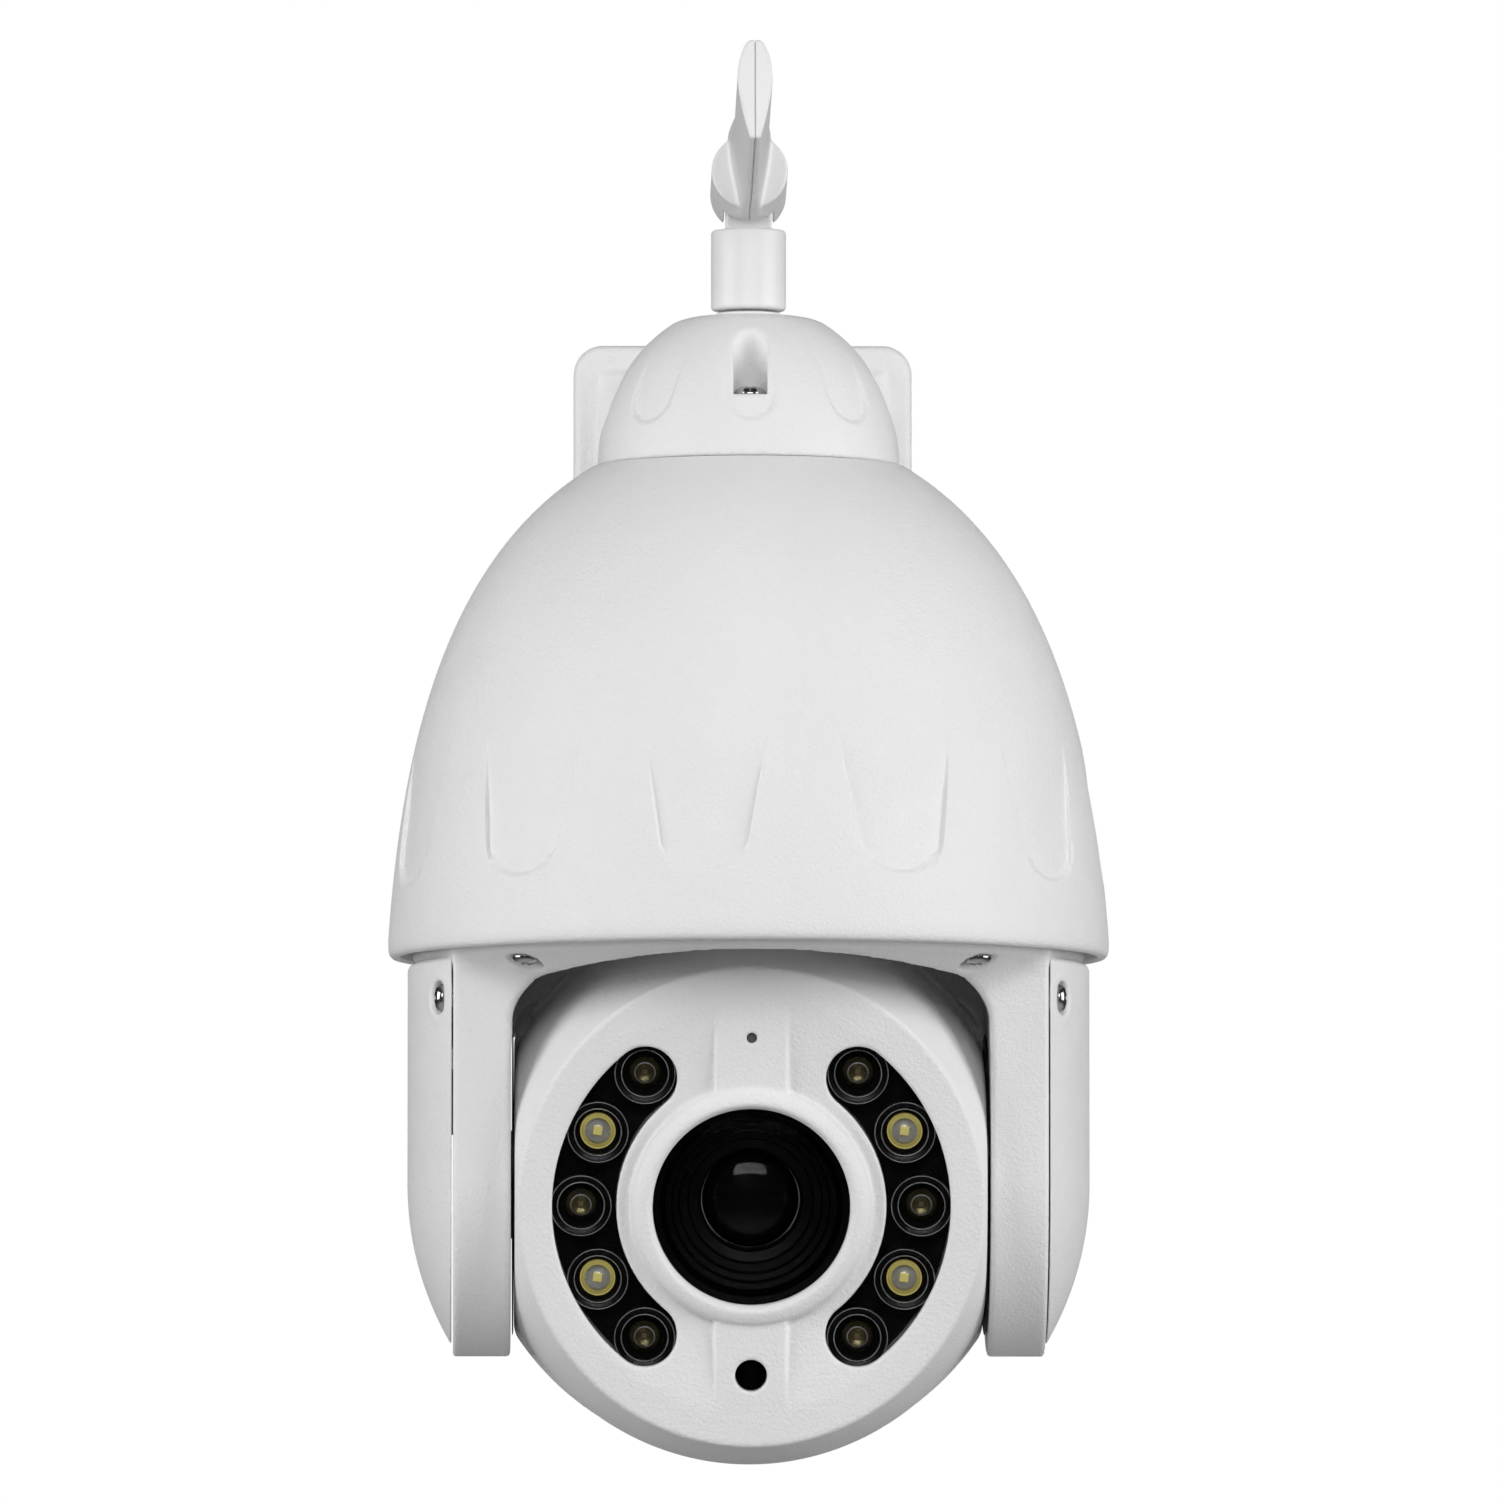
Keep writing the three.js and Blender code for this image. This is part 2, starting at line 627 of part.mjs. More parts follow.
function headFront() {
  const seam = BALL.seamY - 0.4;
  const outside = turnedY(
    [
      [0, FACE.floorY + 0.6],
      [20, FACE.floorY + 0.6],
      [20, FACE.collarY + 1.3],
      [20.9, FACE.collarY + 0.3],
      [22.2, FACE.collarY],
      [23.4, FACE.collarY + 0.5],
      [24, FACE.floorY],
      [38, FACE.floorY],
      [41.2, FACE.rimY],
      [47.2, FACE.rimY],
      ...headSide(0, FACE.rimY + 0.5, seam, 6),
      [0, seam],
    ],
    48,
  );
  const inside = turnedY(
    [[0, FACE.innerY], ...headSide(BALL.wall, FACE.innerY, seam + 3, 4), [0, seam + 3]],
    40,
  );
  const bars = [-1, 1].map((end) =>
    block(-7.1, 7.1, FACE.rimY, FACE.innerY - 0.5, ...(end < 0 ? [-42, -23.5] : [23.5, 42])),
  );
  return cut(
    join(outside.intersect(between(BALL.flatX)), ...bars),
    inside.intersect(between(BALL.flatX - 2.7)),
    rodY(17.6, -42, -30, 0, 0, 36),
    ...[-1, 1].map((side) => slabY(mirrored(kidney(0), side), -45, -30)),
    rodY(1.1, -42, -30, 0, 33.6, 12),
    rodY(3.2, -42, -30, 0, -33.6, 20),
    rodX(9.3, -60, 60, 0, 0, 28),
  );
}

function headRear() {
  const inner = BALL.radius - BALL.wall;
  const seam = BALL.seamY + 0.4;
  const outside = turnedY([[0, seam], ...ballArc(BALL.radius, seam, BALL.radius, 8)], 40);
  const inside = turnedY([[0, seam - 3], [49, seam - 3], ...ballArc(inner, seam, inner, 6)], 32);
  return cut(outside.intersect(between(BALL.flatX)), inside.intersect(between(BALL.flatX - 2.7)));
}

function headSeal() {
  const ring = (radius, x, halfThick) =>
    turnedY(disc(radius, BALL.seamY - halfThick, BALL.seamY + halfThick), 40).intersect(between(x));
  return cut(ring(52.3, BALL.flatX - 0.5, 0.25), ring(51, BALL.flatX - 2, 2));
}

const tiltShaft = (side) =>
  turnedX(
    [
      [6, 41],
      [13, 41],
      [13, 43.9],
      [9, 43.9],
      [9, 56],
      [6, 56],
    ],
    28,
  ).scale([side, 1, 1]);

function tiltGear() {
  const { teeth, module, x, thick } = TILT_GEAR;
  return cut(
    slabX(gearOutline(teeth, module, Math.PI / 2), -x - thick, -x),
    rodX(9.2, -60, -50, 0, 0, 28),
  );
}

// Lens holder: a flared mouth behind the window, stepped down to the sensor.
const lensBarrel = () =>
  turnedY(
    [
      [6, -24],
      [9.6, -24.4],
      [9.6, -29],
      [14, -34],
      [16.8, -36],
      [17.4, -36],
      [17.4, -20],
      [13, -20],
      [13, -4],
      [6, -4],
    ],
    32,
  );
const lensElement = () =>
  turnedY(
    [
      [0, -28.4],
      [4, -28],
      [7.5, -27],
      [9.4, -26],
      [9.4, -24.7],
      [0, -24.7],
    ],
    28,
  );
const ledLens = () =>
  turnedY(
    [
      [0, -35],
      [3.4, -35.4],
      [LED.lensRadius - 0.5, -35.9],
      [LED.lensRadius, -35.7],
      [LED.lensRadius, -34],
      [3.4, LED.boardY - GAP],
      [0, LED.boardY - GAP],
    ],
    18,
  );

function sensorBoard() {
  const board = block(-19, 19, -3.8, -2.2, -19, 19);
  return join(board, block(-12, 12, -2.6, 10, -12, 12));
}

function ledBoard() {
  const board = turnedY(tube(18.2, 41.5, LED.boardY, LED.boardY + 1.6), 40);
  return join(board, rodY(2, LED.boardY - 4.5, LED.boardY + 0.5, 0, 33.6, 12));
}

// ---- Antenna, drawn upright with the hinge at its origin ----
// The paddle's section is blunt on its upper edge and tapers to a thin lower edge.
function paddleRing(z, width, thick) {
  const half = (y) => {
    const reach = y > 1.8 ? width * 0.86 : width * 1.21;
    return thick * Math.sqrt(Math.max(0.04, 1 - ((y - 1.8) / reach) ** 2));
  };
  const side = steps(9, (t) => {
    const y = width * (1 - 2 * t);
    return [half(y), y, z];
  });
  return [...side, ...side.map(([x, y]) => [-x, y, z]).reverse()];
}

function antennaShell(side) {
  const root = rodZ(7.7, -6, 16, 0, 0, 28);
  const back = rodX(8.4, -10, 10, 0, 0, 28);
  const paddle = loft([
    paddleRing(9, 7.2, 3.6),
    paddleRing(15, 9, 3.8),
    paddleRing(28, 10.2, 3.8),
    paddleRing(60, 10.6, 3.7),
    paddleRing(86.5, 10.5, 3.4),
    paddleRing(88, 9.8, 3),
  ]);
  const whole = join(root.intersect(join(block(-9, 9, -9, 9, 0, 17), back)), paddle);
  const slot = block(-4.9, 4.9, -20, 4.9, -20, 4.9);
  const room = block(-1.1, 1.1, -6.5, 6.5, 18, 76);
  const own = side < 0 ? block(-20, -0.06, -20, 20, -20, 80) : block(0.06, 20, -20, 20, -20, 80);
  return cut(whole, slot, room, rodX(1.7, -9, 9, 0, 0, 14)).intersect(own);
}

function antennaCollar() {
  const [bottom, top] = [175.1, 191.2];
  const collar = turnedZ(
    [
      [0, 183],
      [3.5, 182],
      [3.5, bottom],
      [7, bottom],
      [7.5, bottom + 0.6],
      [7.5, top - 0.6],
      [7, top],
      [0, top],
    ],
    28,
  );
  const neck = join(
    block(-4.6, 4.6, -4, 4, top - 1, HINGE_Z),
    rodX(4, -4.6, 4.6, 0, HINGE_Z, 20),
  );
  return cut(join(collar, neck), rodX(1.65, -9, 9, 0, HINGE_Z, 14));
}

// ---- Assembly ----
const camera = new THREE.Group();
const dome = new THREE.Group();
dome.position.set(0, -WALL_Y, -PLATE_Z);
camera.add(dome);

function addFixed() {
  add(dome, "wall_bracket", wallBracket(), "shell");
  const grommet = rodY(CABLE.radius - 0.25, WALL_Y - 9, WALL_Y - 1, 0, CABLE.z, 20);
  add(dome, "cable_grommet", grommet, "rubber");
  const gasket = turnedZ(tube(9.5, 16.2, HOOD.topZ + 0.15, HOOD.topZ + 2.5), 32);
  add(dome, "cap_gasket", gasket, "rubber");
  for (const [name, angle] of Object.entries(CAP_SCREW_ANGLES)) {
    const placed = screw(CAP_SCREW).translate([...capScrewAt(angle), POCKET_FLOOR_Z + GAP]);
    add(dome, `cap_screw_${name}`, placed, "steel");
  }
  add(dome, "hood", hood(), "shell");
  add(dome, "base_plate", basePlate(), "black");
  add(dome, "main_board", mainBoard(), "board");
  add(dome, "pan_motor", panMotor(), "steel");
  add(dome, "pan_bearing", turnedZ(tube(12.25, 20.6, BASE_Z + 0.8, BASE_Z + 7.8), 40), "steel");
  const jack = turnedZ([
    [0, 166],
    [JACK.barrel, 166],
    [JACK.barrel, CAP.topZ + GAP],
    [JACK.flange, CAP.topZ + GAP],
    [JACK.flange, 174.9],
    [JACK.barrel, 174.9],
    [JACK.barrel, 181],
    [0, 181],
  ], 24);
  add(dome, "antenna_jack", cut(jack, rodZ(1, 177, 182, 0, 0, 8)), "brass");
  const pinion = new THREE.Group();
  pinion.position.set(0, MOTOR_Y, 0);
  add(pinion, "pan_pinion", panPinion(), "gear");
  dome.add(pinion);
}

function addPan() {
  add(dome, "yoke", yoke(), "shell");
  add(dome, "turntable", turntable(), "black");
  const { teeth, module, z, thick } = PAN_GEAR;
  const gear = cut(slabZ(gearOutline(teeth, module), z, z + thick), rodZ(12.3, 60, 75, 0, 0, 28));
  add(dome, "pan_gear", gear, "gear");
  add(dome, "hub_nut", hubNut(), "steel");
  for (const [name, [x, y]] of Object.entries(yokeScrews)) {
    const placed = screw(M3_SCREW).rotate([180, 0, 0]).translate([x, y, YOKE_SEAT_Z - GAP]);
    add(dome, name, placed, "steel");
  }
  for (const [sideName, side] of [["left", -1], ["right", 1]]) {
    add(dome, `arm_cover_${sideName}`, armCover(side), "shell");
    for (const [endName, end] of [["front", -1], ["rear", 1]]) {
      const x = side * (YOKE.armOuterX + 0.3 + 1.6 + GAP);
      const turned = screw(COVER_SCREW_SIZE).rotate([0, side * 90, 0]);
      const placed = turned.translate([x, end * COVER_SCREW.y, COVER_SCREW.z]);
      add(dome, `cover_screw_${sideName}_${endName}`, placed, "steel");
    }
    const bush = turnedX(tube(9.15, 10.8, 47.9, 51.3), 28).scale([side, 1, 1]);
    add(dome, `tilt_bearing_${sideName}`, bush, "black");
  }
  add(dome, "tilt_motor", tiltMotor(), "steel");
  const pinion = new THREE.Group();
  pinion.position.set(0, 0, GEAR_CENTRE);
  add(pinion, "tilt_pinion", tiltPinion(), "gear");
  dome.add(pinion);
}

function addHead() {
  const head = new THREE.Group();
  head.rotation.x = rad(REST_TILT);
  dome.add(head);
  add(head, "head_front_shell", headFront(), "shell");
  add(head, "head_rear_shell", headRear(), "shell");
  add(head, "head_seal", headSeal(), "rubber");
  add(head, "lens_window", rodY(19.7, FACE.windowY - 1.2, FACE.floorY + 0.3, 0, 0, 36), "glass");
  add(head, "lens_barrel", lensBarrel(), "black");
  add(head, "lens_element", lensElement(), "optic");
  add(head, "sensor_board", sensorBoard(), "board");
  add(head, "led_board", ledBoard(), "black");
  add(head, "light_sensor", rodY(2.6, -37, LED.boardY - GAP, 0, -33.6, 14), "optic");
  for (const [name, side] of [["left", -1], ["right", 1]]) {
    add(head, `tilt_shaft_${name}`, tiltShaft(side), "steel");
    const pane = slabY(mirrored(kidney(-0.25), side), FACE.rimY + 0.8, FACE.rimY + 2.1);
    add(head, `led_window_${name}`, pane, "glass");
    LED_ANGLES.forEach((angle, i) => {
      const [x, z] = ledAt(side, angle);
      add(head, `led_lens_${name}_${i + 1}`, ledLens().translate([x, 0, z]), "optic");
    });
  }
  const gear = new THREE.Group();
  gear.rotation.x = -rad(REST_TILT); // the gear stands square to its pinion at rest
  add(gear, "tilt_gear", tiltGear(), "gear");
  head.add(gear);
}

function addAntenna() {
  add(dome, "antenna_collar", antennaCollar(), "antenna");
  add(dome, "antenna_hinge_pin", rodX(1.5, -7.2, 7.2, 0, HINGE_Z, 14), "steel");
  const fold = new THREE.Group();
  fold.position.set(0, 0, HINGE_Z);
  fold.rotation.x = rad(REST_FOLD);
  dome.add(fold);
  add(fold, "antenna_shell_left", antennaShell(-1), "antenna");
  add(fold, "antenna_shell_right", antennaShell(1), "antenna");
  add(fold, "antenna_element", block(-0.8, 0.8, -6, 6, 19, 74), "board");
}

addFixed();
addPan();
addHead();
addAntenna();

export default camera;
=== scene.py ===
"""Looks for the pan-tilt dome camera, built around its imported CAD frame.

Lengths inside the shape functions are millimetres. The rig frame has its origin where the pan and
tilt axes cross, +Z up and -Y towards the viewer. The head frame is the same, turned by the rest
tilt; the paddle frame stands on the antenna's hinge with the paddle pointing up.
"""

import json
import math

import bmesh
import bpy
import numpy as np
from mathutils import Matrix, Vector

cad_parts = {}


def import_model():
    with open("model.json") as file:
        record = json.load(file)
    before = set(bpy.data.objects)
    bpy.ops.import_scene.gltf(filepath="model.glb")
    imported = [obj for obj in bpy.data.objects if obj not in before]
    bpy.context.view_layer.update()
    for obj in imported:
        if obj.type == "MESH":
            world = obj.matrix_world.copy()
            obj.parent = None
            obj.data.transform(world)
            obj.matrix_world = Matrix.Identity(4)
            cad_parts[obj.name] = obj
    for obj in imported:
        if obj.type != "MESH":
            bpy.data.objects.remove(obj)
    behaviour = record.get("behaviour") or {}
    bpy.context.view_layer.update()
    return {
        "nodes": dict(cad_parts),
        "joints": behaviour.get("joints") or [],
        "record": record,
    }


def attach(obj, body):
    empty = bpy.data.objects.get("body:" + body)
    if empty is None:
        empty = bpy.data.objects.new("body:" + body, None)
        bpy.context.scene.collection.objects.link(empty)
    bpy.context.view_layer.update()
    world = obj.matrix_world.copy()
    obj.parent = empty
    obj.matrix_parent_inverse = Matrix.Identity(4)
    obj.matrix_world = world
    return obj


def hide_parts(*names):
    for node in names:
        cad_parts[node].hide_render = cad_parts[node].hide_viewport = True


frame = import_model()

# ---- Frames ----
JOINTS = {joint["name"]: joint for joint in frame["joints"]}
MM = Matrix.Scale(0.001, 4)
RIG = Matrix.Translation(JOINTS["pan"]["pos_m"])
REST_TILT = -JOINTS["tilt"]["range_deg"][0]
REST_FOLD = JOINTS["antenna_fold"]["range_deg"][1]
HEAD = RIG @ Matrix.Rotation(math.radians(REST_TILT), 4, "X")
HINGE = Matrix.Translation(JOINTS["antenna_fold"]["pos_m"])
HINGE_Z = (JOINTS["antenna_fold"]["pos_m"][2] - JOINTS["pan"]["pos_m"][2]) * 1000
PADDLE = HINGE @ Matrix.Rotation(math.radians(REST_FOLD), 4, "X")

# ---- Sizes: mm and degrees, with heights as z in the rig frame ----
CLEARANCE = 0.3

# The hood's outline is a Bezier of (radius, z). Its lip and crown are offsets from the curve's ends.
HOOD_CURVE = ((72.0, 48.8), (69.3, 89.0), (60.2, 126.0), (31.5, 143.5))
HOOD_RIM_Z = 45.1
HOOD_WALL = 2.5
HOOD_LIP = ((-1.6, 0), (-0.8, 0.15), (-0.3, 0.6), (-0.05, 1.4), (0, 2.6))
HOOD_CROWN = ((0, 0), (-0.5, 0.12), (-1.1, 0.15))
HOOD_ROWS = ((0, 0.07, 6), (0.07, 0.14, 34), (0.14, 0.37, 60), (0.37, 1, 42))
HOOD_TOP = {"hole": 9.0, "thick": 3.0, "flat": 28.0}
SCOOPS = {"count": 11, "first": -8.0, "bottom": 58.4, "top": 89.0, "round": 6.0, "depth": 0.9,
          "half_angle": 6.5, "flare": 0.147}

CAP = {"radius": 30.2, "base": 143.8, "centre": 143.6, "half_height": 33.3, "top": 173.8}
PETALS = {"count": 8, "bottom": 150.8, "rise": 17.0, "half": 5.4, "flare": 0.4, "depth": 0.75}
POCKETS = {"angles": (0, 135, 225), "circle": 22.0, "floor": 156.2, "half": 3.4, "inward": 4.0}
PLATE = {"y": 86.0, "thick": 8.0, "half_width": 34.5, "half_height": 50.0, "centre_z": 125.0,
         "corner": 6.0, "lip_inset": 5.5, "lip_step": 0.9}
PLATE_HOLES = {"x": 26.0, "z": (-41.0, 7.0), "bore": 2.6, "sink": 4.8, "sink_depth": 2.5}
CABLE_HOLE = {"z": 157.0, "radius": 8.0}
BRACKET_ARM = {"z": 156.5, "half": (18, 12), "round": 8.0, "flare": 0.5, "flare_from": 50, "flare_to": 79}

# Head radius, head height and shank radius of each kind of screw; the recess is in head radii.
SCREWS = {"cap": (3.3, 2.0, 1.6), "yoke": (2.9, 2.0, 1.4), "cover": (2.8, 1.9, 1.15)}
SHANK_LENGTH = 3
RECESS = {"arm": 0.13, "reach": 0.62, "slope": 0.7, "bottom": 0.35}

YOKE = {"radius": 67.1, "inner": 47.3, "outer": 59.0, "half": 34.3, "under": 38.0, "top": 65.6}
BEVEL = {"radius": 54.0, "sine": 0.433, "cosine": 0.901, "run": 2.08, "wall": 1.2}
ARCH = {"radius": 224.0, "top": 43.3, "corner": 7.0}
CAVITY = 63.6
SKIRT = {"z": 31.5, "from_y": 30.0, "inner": 48.0, "overlap": 8.0}
WELL = {"half": 46.2, "top": 62.0}
ARM_ROOM = {"wall": 2.6, "top": 39.0, "inner": 51.4}
SHAFT_BORE = 11.0
YOKE_SCREW = {"x": 44.7, "y": 43.5, "z": 43.4, "seat": 3.6}

COVER = {"radius": 68.1, "squash": 1.045, "top": 43.9, "wall": 2.3, "room_top": 36.0, "room_half": 30.0}
COVER_SCREW = {"x": 60.9, "y": 28.0, "z": 35.8, "seat": 3.3, "boss": 5.0}

# The head, in the head frame: a ball behind its shafts and a stretched nose in front of them.
BALL = 55.4
NOSE = {"length": 78.6, "squash": 1.035}
FLAT = 46.8
FACE = -40.0
SEAM = 16.0
HEAD_WALL = 2.6
DISH = {"depth": 2.0, "outer": 41.2, "inner": 24.5, "bar": (6.7, 7.4)}
COLLAR = {"front": -41.7, "radius": 23.8, "crest": 21.9, "throat": 20.5, "outer_slope": 0.8,
          "inner_slope": 1.3}
LENS_WELL = 19.55
SENSOR = {"z": -33.6, "hole": 3.2}
MICROPHONE = {"z": 33.6, "hole": 1.05}
LED_CIRCLE = 33.7
LED_ANGLES = (51.3, 25.7, 0, -25.7, -51.3)
WHITE_LAMPS = (2, 4)
LAMP_SHIFT = -1.2
KIDNEY = {"mid": 33.1, "half": 6.35, "end": math.radians(50.5)}

# The antenna's collar and neck; the paddle, in the paddle frame, is a blade on a round root.
ANTENNA_COLLAR = {"radius": 7.5, "bottom": 175.1, "top": 191.2}
NECK = {"half": 4.6, "radius": 4.0, "bottom": 190.0}
FORK = 4.9
ROOT = {"radius": 7.6, "round": 8.3, "bottom": -6.0, "top": 16.5}
BLADE = {"bottom": 9.0, "top": 88.0, "blend": (10, 40), "crest_y": 2.0, "half": 3.45, "root_half": 4.3}
SHELL_GAP = 0.02

# Cell sizes of the meshes that are cut from distance fields.
CELLS = {"bracket": 0.62, "yoke": 0.85, "cover": 0.5, "head_front": 0.52, "head_rear": 0.75,
         "screw": 0.17, "collar": 0.3, "paddle": 0.35}
BLOCK = 8
NEAR_BLOCKS = 1.3
SETTLE_STEPS = 3

# The studio, in metres and watts: name, azimuth, elevation, distance, panel size and power.
LIGHTS = (
    ("side_left", -66, 13, 1.8, (1.3, 1.5), 24),
    ("side_right", 64, 13, 1.8, (1.3, 1.5), 26),
    ("front", 0, 20, 2.2, (1.4, 0.8), 17),
)
AMBIENT = 0.05
FLOOR = {"size": 14, "z": -1.6, "glow": 0.68}
CAMERA = {"azimuth": -0.86, "elevation": -3.8, "distance": 4.0, "lens": 480, "sensor": 36,
          "aim": (0.0003, 0, 0.087)}


# ---- Signed distance helpers, all on arrays of points ----
def length(*parts):
    return np.sqrt(sum(part * part for part in parts))


def both(a, b, r=0.0):
    """Where both shapes are, with the edge between them rounded to radius r."""
    if r == 0:
        return np.maximum(a, b)
    return np.minimum(-r, np.maximum(a, b)) + length(np.maximum(a + r, 0), np.maximum(b + r, 0))


def either(a, b, r=0.0):
    """Where either shape is, with the corner between them filleted to radius r."""
    return -both(-a, -b, r)


def without(a, b, r=0.0):
    """The first shape less the second, with the new edge rounded."""
    return both(a, -b, r)


def box(p, low, high, r):
    """A box with all its edges rounded, in as many dimensions as its points have."""
    low, high = np.array(low, float), np.array(high, float)
    away = np.abs(p - (low + high) / 2) - (high - low) / 2 + r
    outside = length(*np.maximum(away, 0).T)
    return outside + np.minimum(away.max(axis=1), 0) - r


def rod(p, axis, centre, radius, low, high, r=0.0):
    """A cylinder along one axis, from low to high."""
    across = [k for k in range(3) if k != axis]
    rho = length(*(p[:, k] - centre[i] for i, k in enumerate(across)))
    along = p[:, axis]
    return both(rho - radius, np.maximum(low - along, along - high), r)


def smoothstep(low, high, value):
    t = np.clip((value - low) / (high - low), 0, 1)
    return t * t * (3 - 2 * t)


# ---- Meshes ----
def finish_mesh(name, points, faces, place):
    """A smooth-shaded piece from points in mm; faces may have any number of corners."""
    mesh = bpy.data.meshes.new(name)
    mesh.from_pydata(points, [], faces)
    mesh.transform(place @ MM)
    mesh.validate()
    mesh.polygons.foreach_set("use_smooth", [True] * len(mesh.polygons))
    mesh.update()
    piece = bpy.data.objects.new(name, mesh)
    bpy.context.scene.collection.objects.link(piece)
    return piece


def cell_vertices(values, active):
    """The mean of the zero crossings on each active cell's edges, from 0 to 1 in the cell."""
    block, i, j, k = active
    corners = [(a, b, c) for a in (0, 1) for b in (0, 1) for c in (0, 1)]
    at = {c: values[block, i + c[0], j + c[1], k + c[2]] for c in corners}
    total = np.zeros((len(block), 3))
    count = np.zeros(len(block))
    for a in corners:
        for axis in range(3):
            if a[axis]:
                continue
            b = tuple(1 if n == axis else a[n] for n in range(3))
            va, vb = at[a], at[b]
            crosses = (va < 0) != (vb < 0)
            t = np.where(crosses, va / np.where(crosses, va - vb, 1), 0)
            point = np.array(a, float) + t[:, None] * (np.arange(3) == axis)
            total += point * crosses[:, None]
            count += crosses
    return total / count[:, None]


def surface_quads(inside, blocks, span, ids):
    """One quad round each grid edge that crosses the surface, as indices into ids."""
    quads = []
    for axis in range(3):
        here = inside[:, :BLOCK, :BLOCK, :BLOCK]
        step = [slice(None)] + [slice(1, BLOCK + 1) if n == axis else slice(0, BLOCK) for n in range(3)]
        there = inside[tuple(step)]
        block, i, j, k = np.nonzero(here != there)
        corner = blocks[block] * BLOCK + np.stack([i, j, k], 1)
        one, two = [np.eye(3, dtype=np.int64)[n] for n in ((axis + 1) % 3, (axis + 2) % 3)]
        ring = [corner, corner - one, corner - one - two, corner - two]
        keys = np.stack([(c[:, 0] * span[1] + c[:, 1]) * span[2] + c[:, 2] for c in ring], 1)
        found = np.clip(np.searchsorted(ids, keys), 0, len(ids) - 1)
        good = (ids[found] == keys).all(axis=1)
        found, keep = found[good], here[block, i, j, k][good]
        quads.append(np.where(keep[:, None], found, found[:, ::-1]))
    return np.concatenate(quads)


def carve(name, field, low, high, cell, place=RIG):
    """Meshes the surface of a signed distance field. Only blocks of cells near it are sampled."""
    start = np.array(low, float) - 2 * cell
    counts = np.ceil((np.array(high, float) + 2 * cell - start) / (cell * BLOCK)).astype(int)
    blocks = np.stack(np.meshgrid(*map(np.arange, counts), indexing="ij"), -1).reshape(-1, 3)
    middle = start + (blocks + 0.5) * cell * BLOCK
    blocks = blocks[np.abs(field(middle)) < cell * BLOCK * NEAR_BLOCKS]
    grid = np.stack(np.meshgrid(*[np.arange(BLOCK + 1)] * 3, indexing="ij"), -1)
    corners = blocks[:, None, None, None, :] * BLOCK + grid
    values = field((start + corners * cell).reshape(-1, 3)).reshape(corners.shape[:-1])
    inside = values < 0
    total = sum(
        inside[:, a : a + BLOCK, b : b + BLOCK, c : c + BLOCK].astype(np.int8)
        for a in (0, 1) for b in (0, 1) for c in (0, 1)
    )
    active = np.nonzero((total > 0) & (total < 8))
    cells = blocks[active[0]] * BLOCK + np.stack(active[1:], 1)
    span = counts * BLOCK + 1
    ids = (cells[:, 0] * span[1] + cells[:, 1]) * span[2] + cells[:, 2]
    order = np.argsort(ids)
    points = start + (cells + cell_vertices(values, active)) * cell
    points, ids = points[order], ids[order]
    quads = surface_quads(inside, blocks, span, ids)
    for _ in range(SETTLE_STEPS):
        points = settle(points, field, cell)
    return finish_mesh(name, points.tolist(), quads.tolist(), place)


def settle(points, field, cell):
    """Moves points on to the surface, along the field's slope."""
    probe = cell * 0.05
    rises = [field(points + probe * axis) - field(points - probe * axis) for axis in np.eye(3)]
    slope = np.stack(rises, 1) / (2 * probe)
    steepness = np.maximum((slope * slope).sum(axis=1), 0.25)
    step = slope * (field(points) / steepness)[:, None]
    return points - np.clip(step, -cell / 2, cell / 2)


def lathe(name, profile, place, axis, segments):
    """Turns a closed outline of (radius, height) about an axis. Points on the axis become poles."""
    angles = np.linspace(0, 2 * math.pi, segments, endpoint=False)
    points, rings = [], []
    for radius, height in profile:
        if radius == 0:
            rings.append([len(points)] * segments)
            points.append((0, 0, height))
            continue
        rings.append(list(range(len(points), len(points) + segments)))
        points += [(radius * math.cos(a), radius * math.sin(a), height) for a in angles]
    closed = profile[0][0] > 0 or profile[-1][0] > 0
    pairs = list(zip(rings, rings[1:])) + ([(rings[-1], rings[0])] if closed else [])
    faces = []
    for low, high in pairs:
        for i in range(segments):
            j = (i + 1) % segments
            face = [low[i], low[j], high[j], high[i]]
            faces.append([v for n, v in enumerate(face) if v not in face[:n]])
    faces = [face for face in faces if len(face) > 2]
    piece = finish_mesh(name, [to_axis(p, axis) for p in points], faces, place)
    fix_normals(piece.data)
    return piece


def to_axis(p, axis):
    x, y, z = p
    return {"Z": (x, y, z), "Y": (x, z, -y), "X": (z, x, y)}[axis]


def fix_normals(mesh):
    shape = bmesh.new()
    shape.from_mesh(mesh)
    bmesh.ops.recalc_face_normals(shape, faces=shape.faces)
    shape.to_mesh(mesh)
    shape.free()


def crease(piece, degrees=35):
    """A hard line along edges sharper than the angle."""
    piece.data.set_sharp_from_angle(angle=math.radians(degrees))
    return piece


def moved(place, x, y, z):
    return place @ Matrix.Translation((x / 1000, y / 1000, z / 1000))


# ---- Materials ----
def new_material(name):
    material = bpy.data.materials.new(name)
    material.use_nodes = True
    nodes, links = material.node_tree.nodes, material.node_tree.links
    return material, nodes, links, nodes["Principled BSDF"]


def noise(nodes, links, coordinates, scale, detail, rough=0.5):
    node = nodes.new("ShaderNodeTexNoise")
    node.inputs["Scale"].default_value = scale
    node.inputs["Detail"].default_value = detail
    node.inputs["Roughness"].default_value = rough
    links.new(coordinates, node.inputs["Vector"])
    return node.outputs["Fac"]


def ramp(nodes, links, value, stops):
    node = nodes.new("ShaderNodeValToRGB")
    elements = node.color_ramp.elements
    while len(elements) < len(stops):
        elements.new(0.5)
    for element, (position, colour) in zip(elements, stops):
        element.position = position
        element.color = (*colour, 1)
    links.new(value, node.inputs["Fac"])
    return node.outputs["Color"]


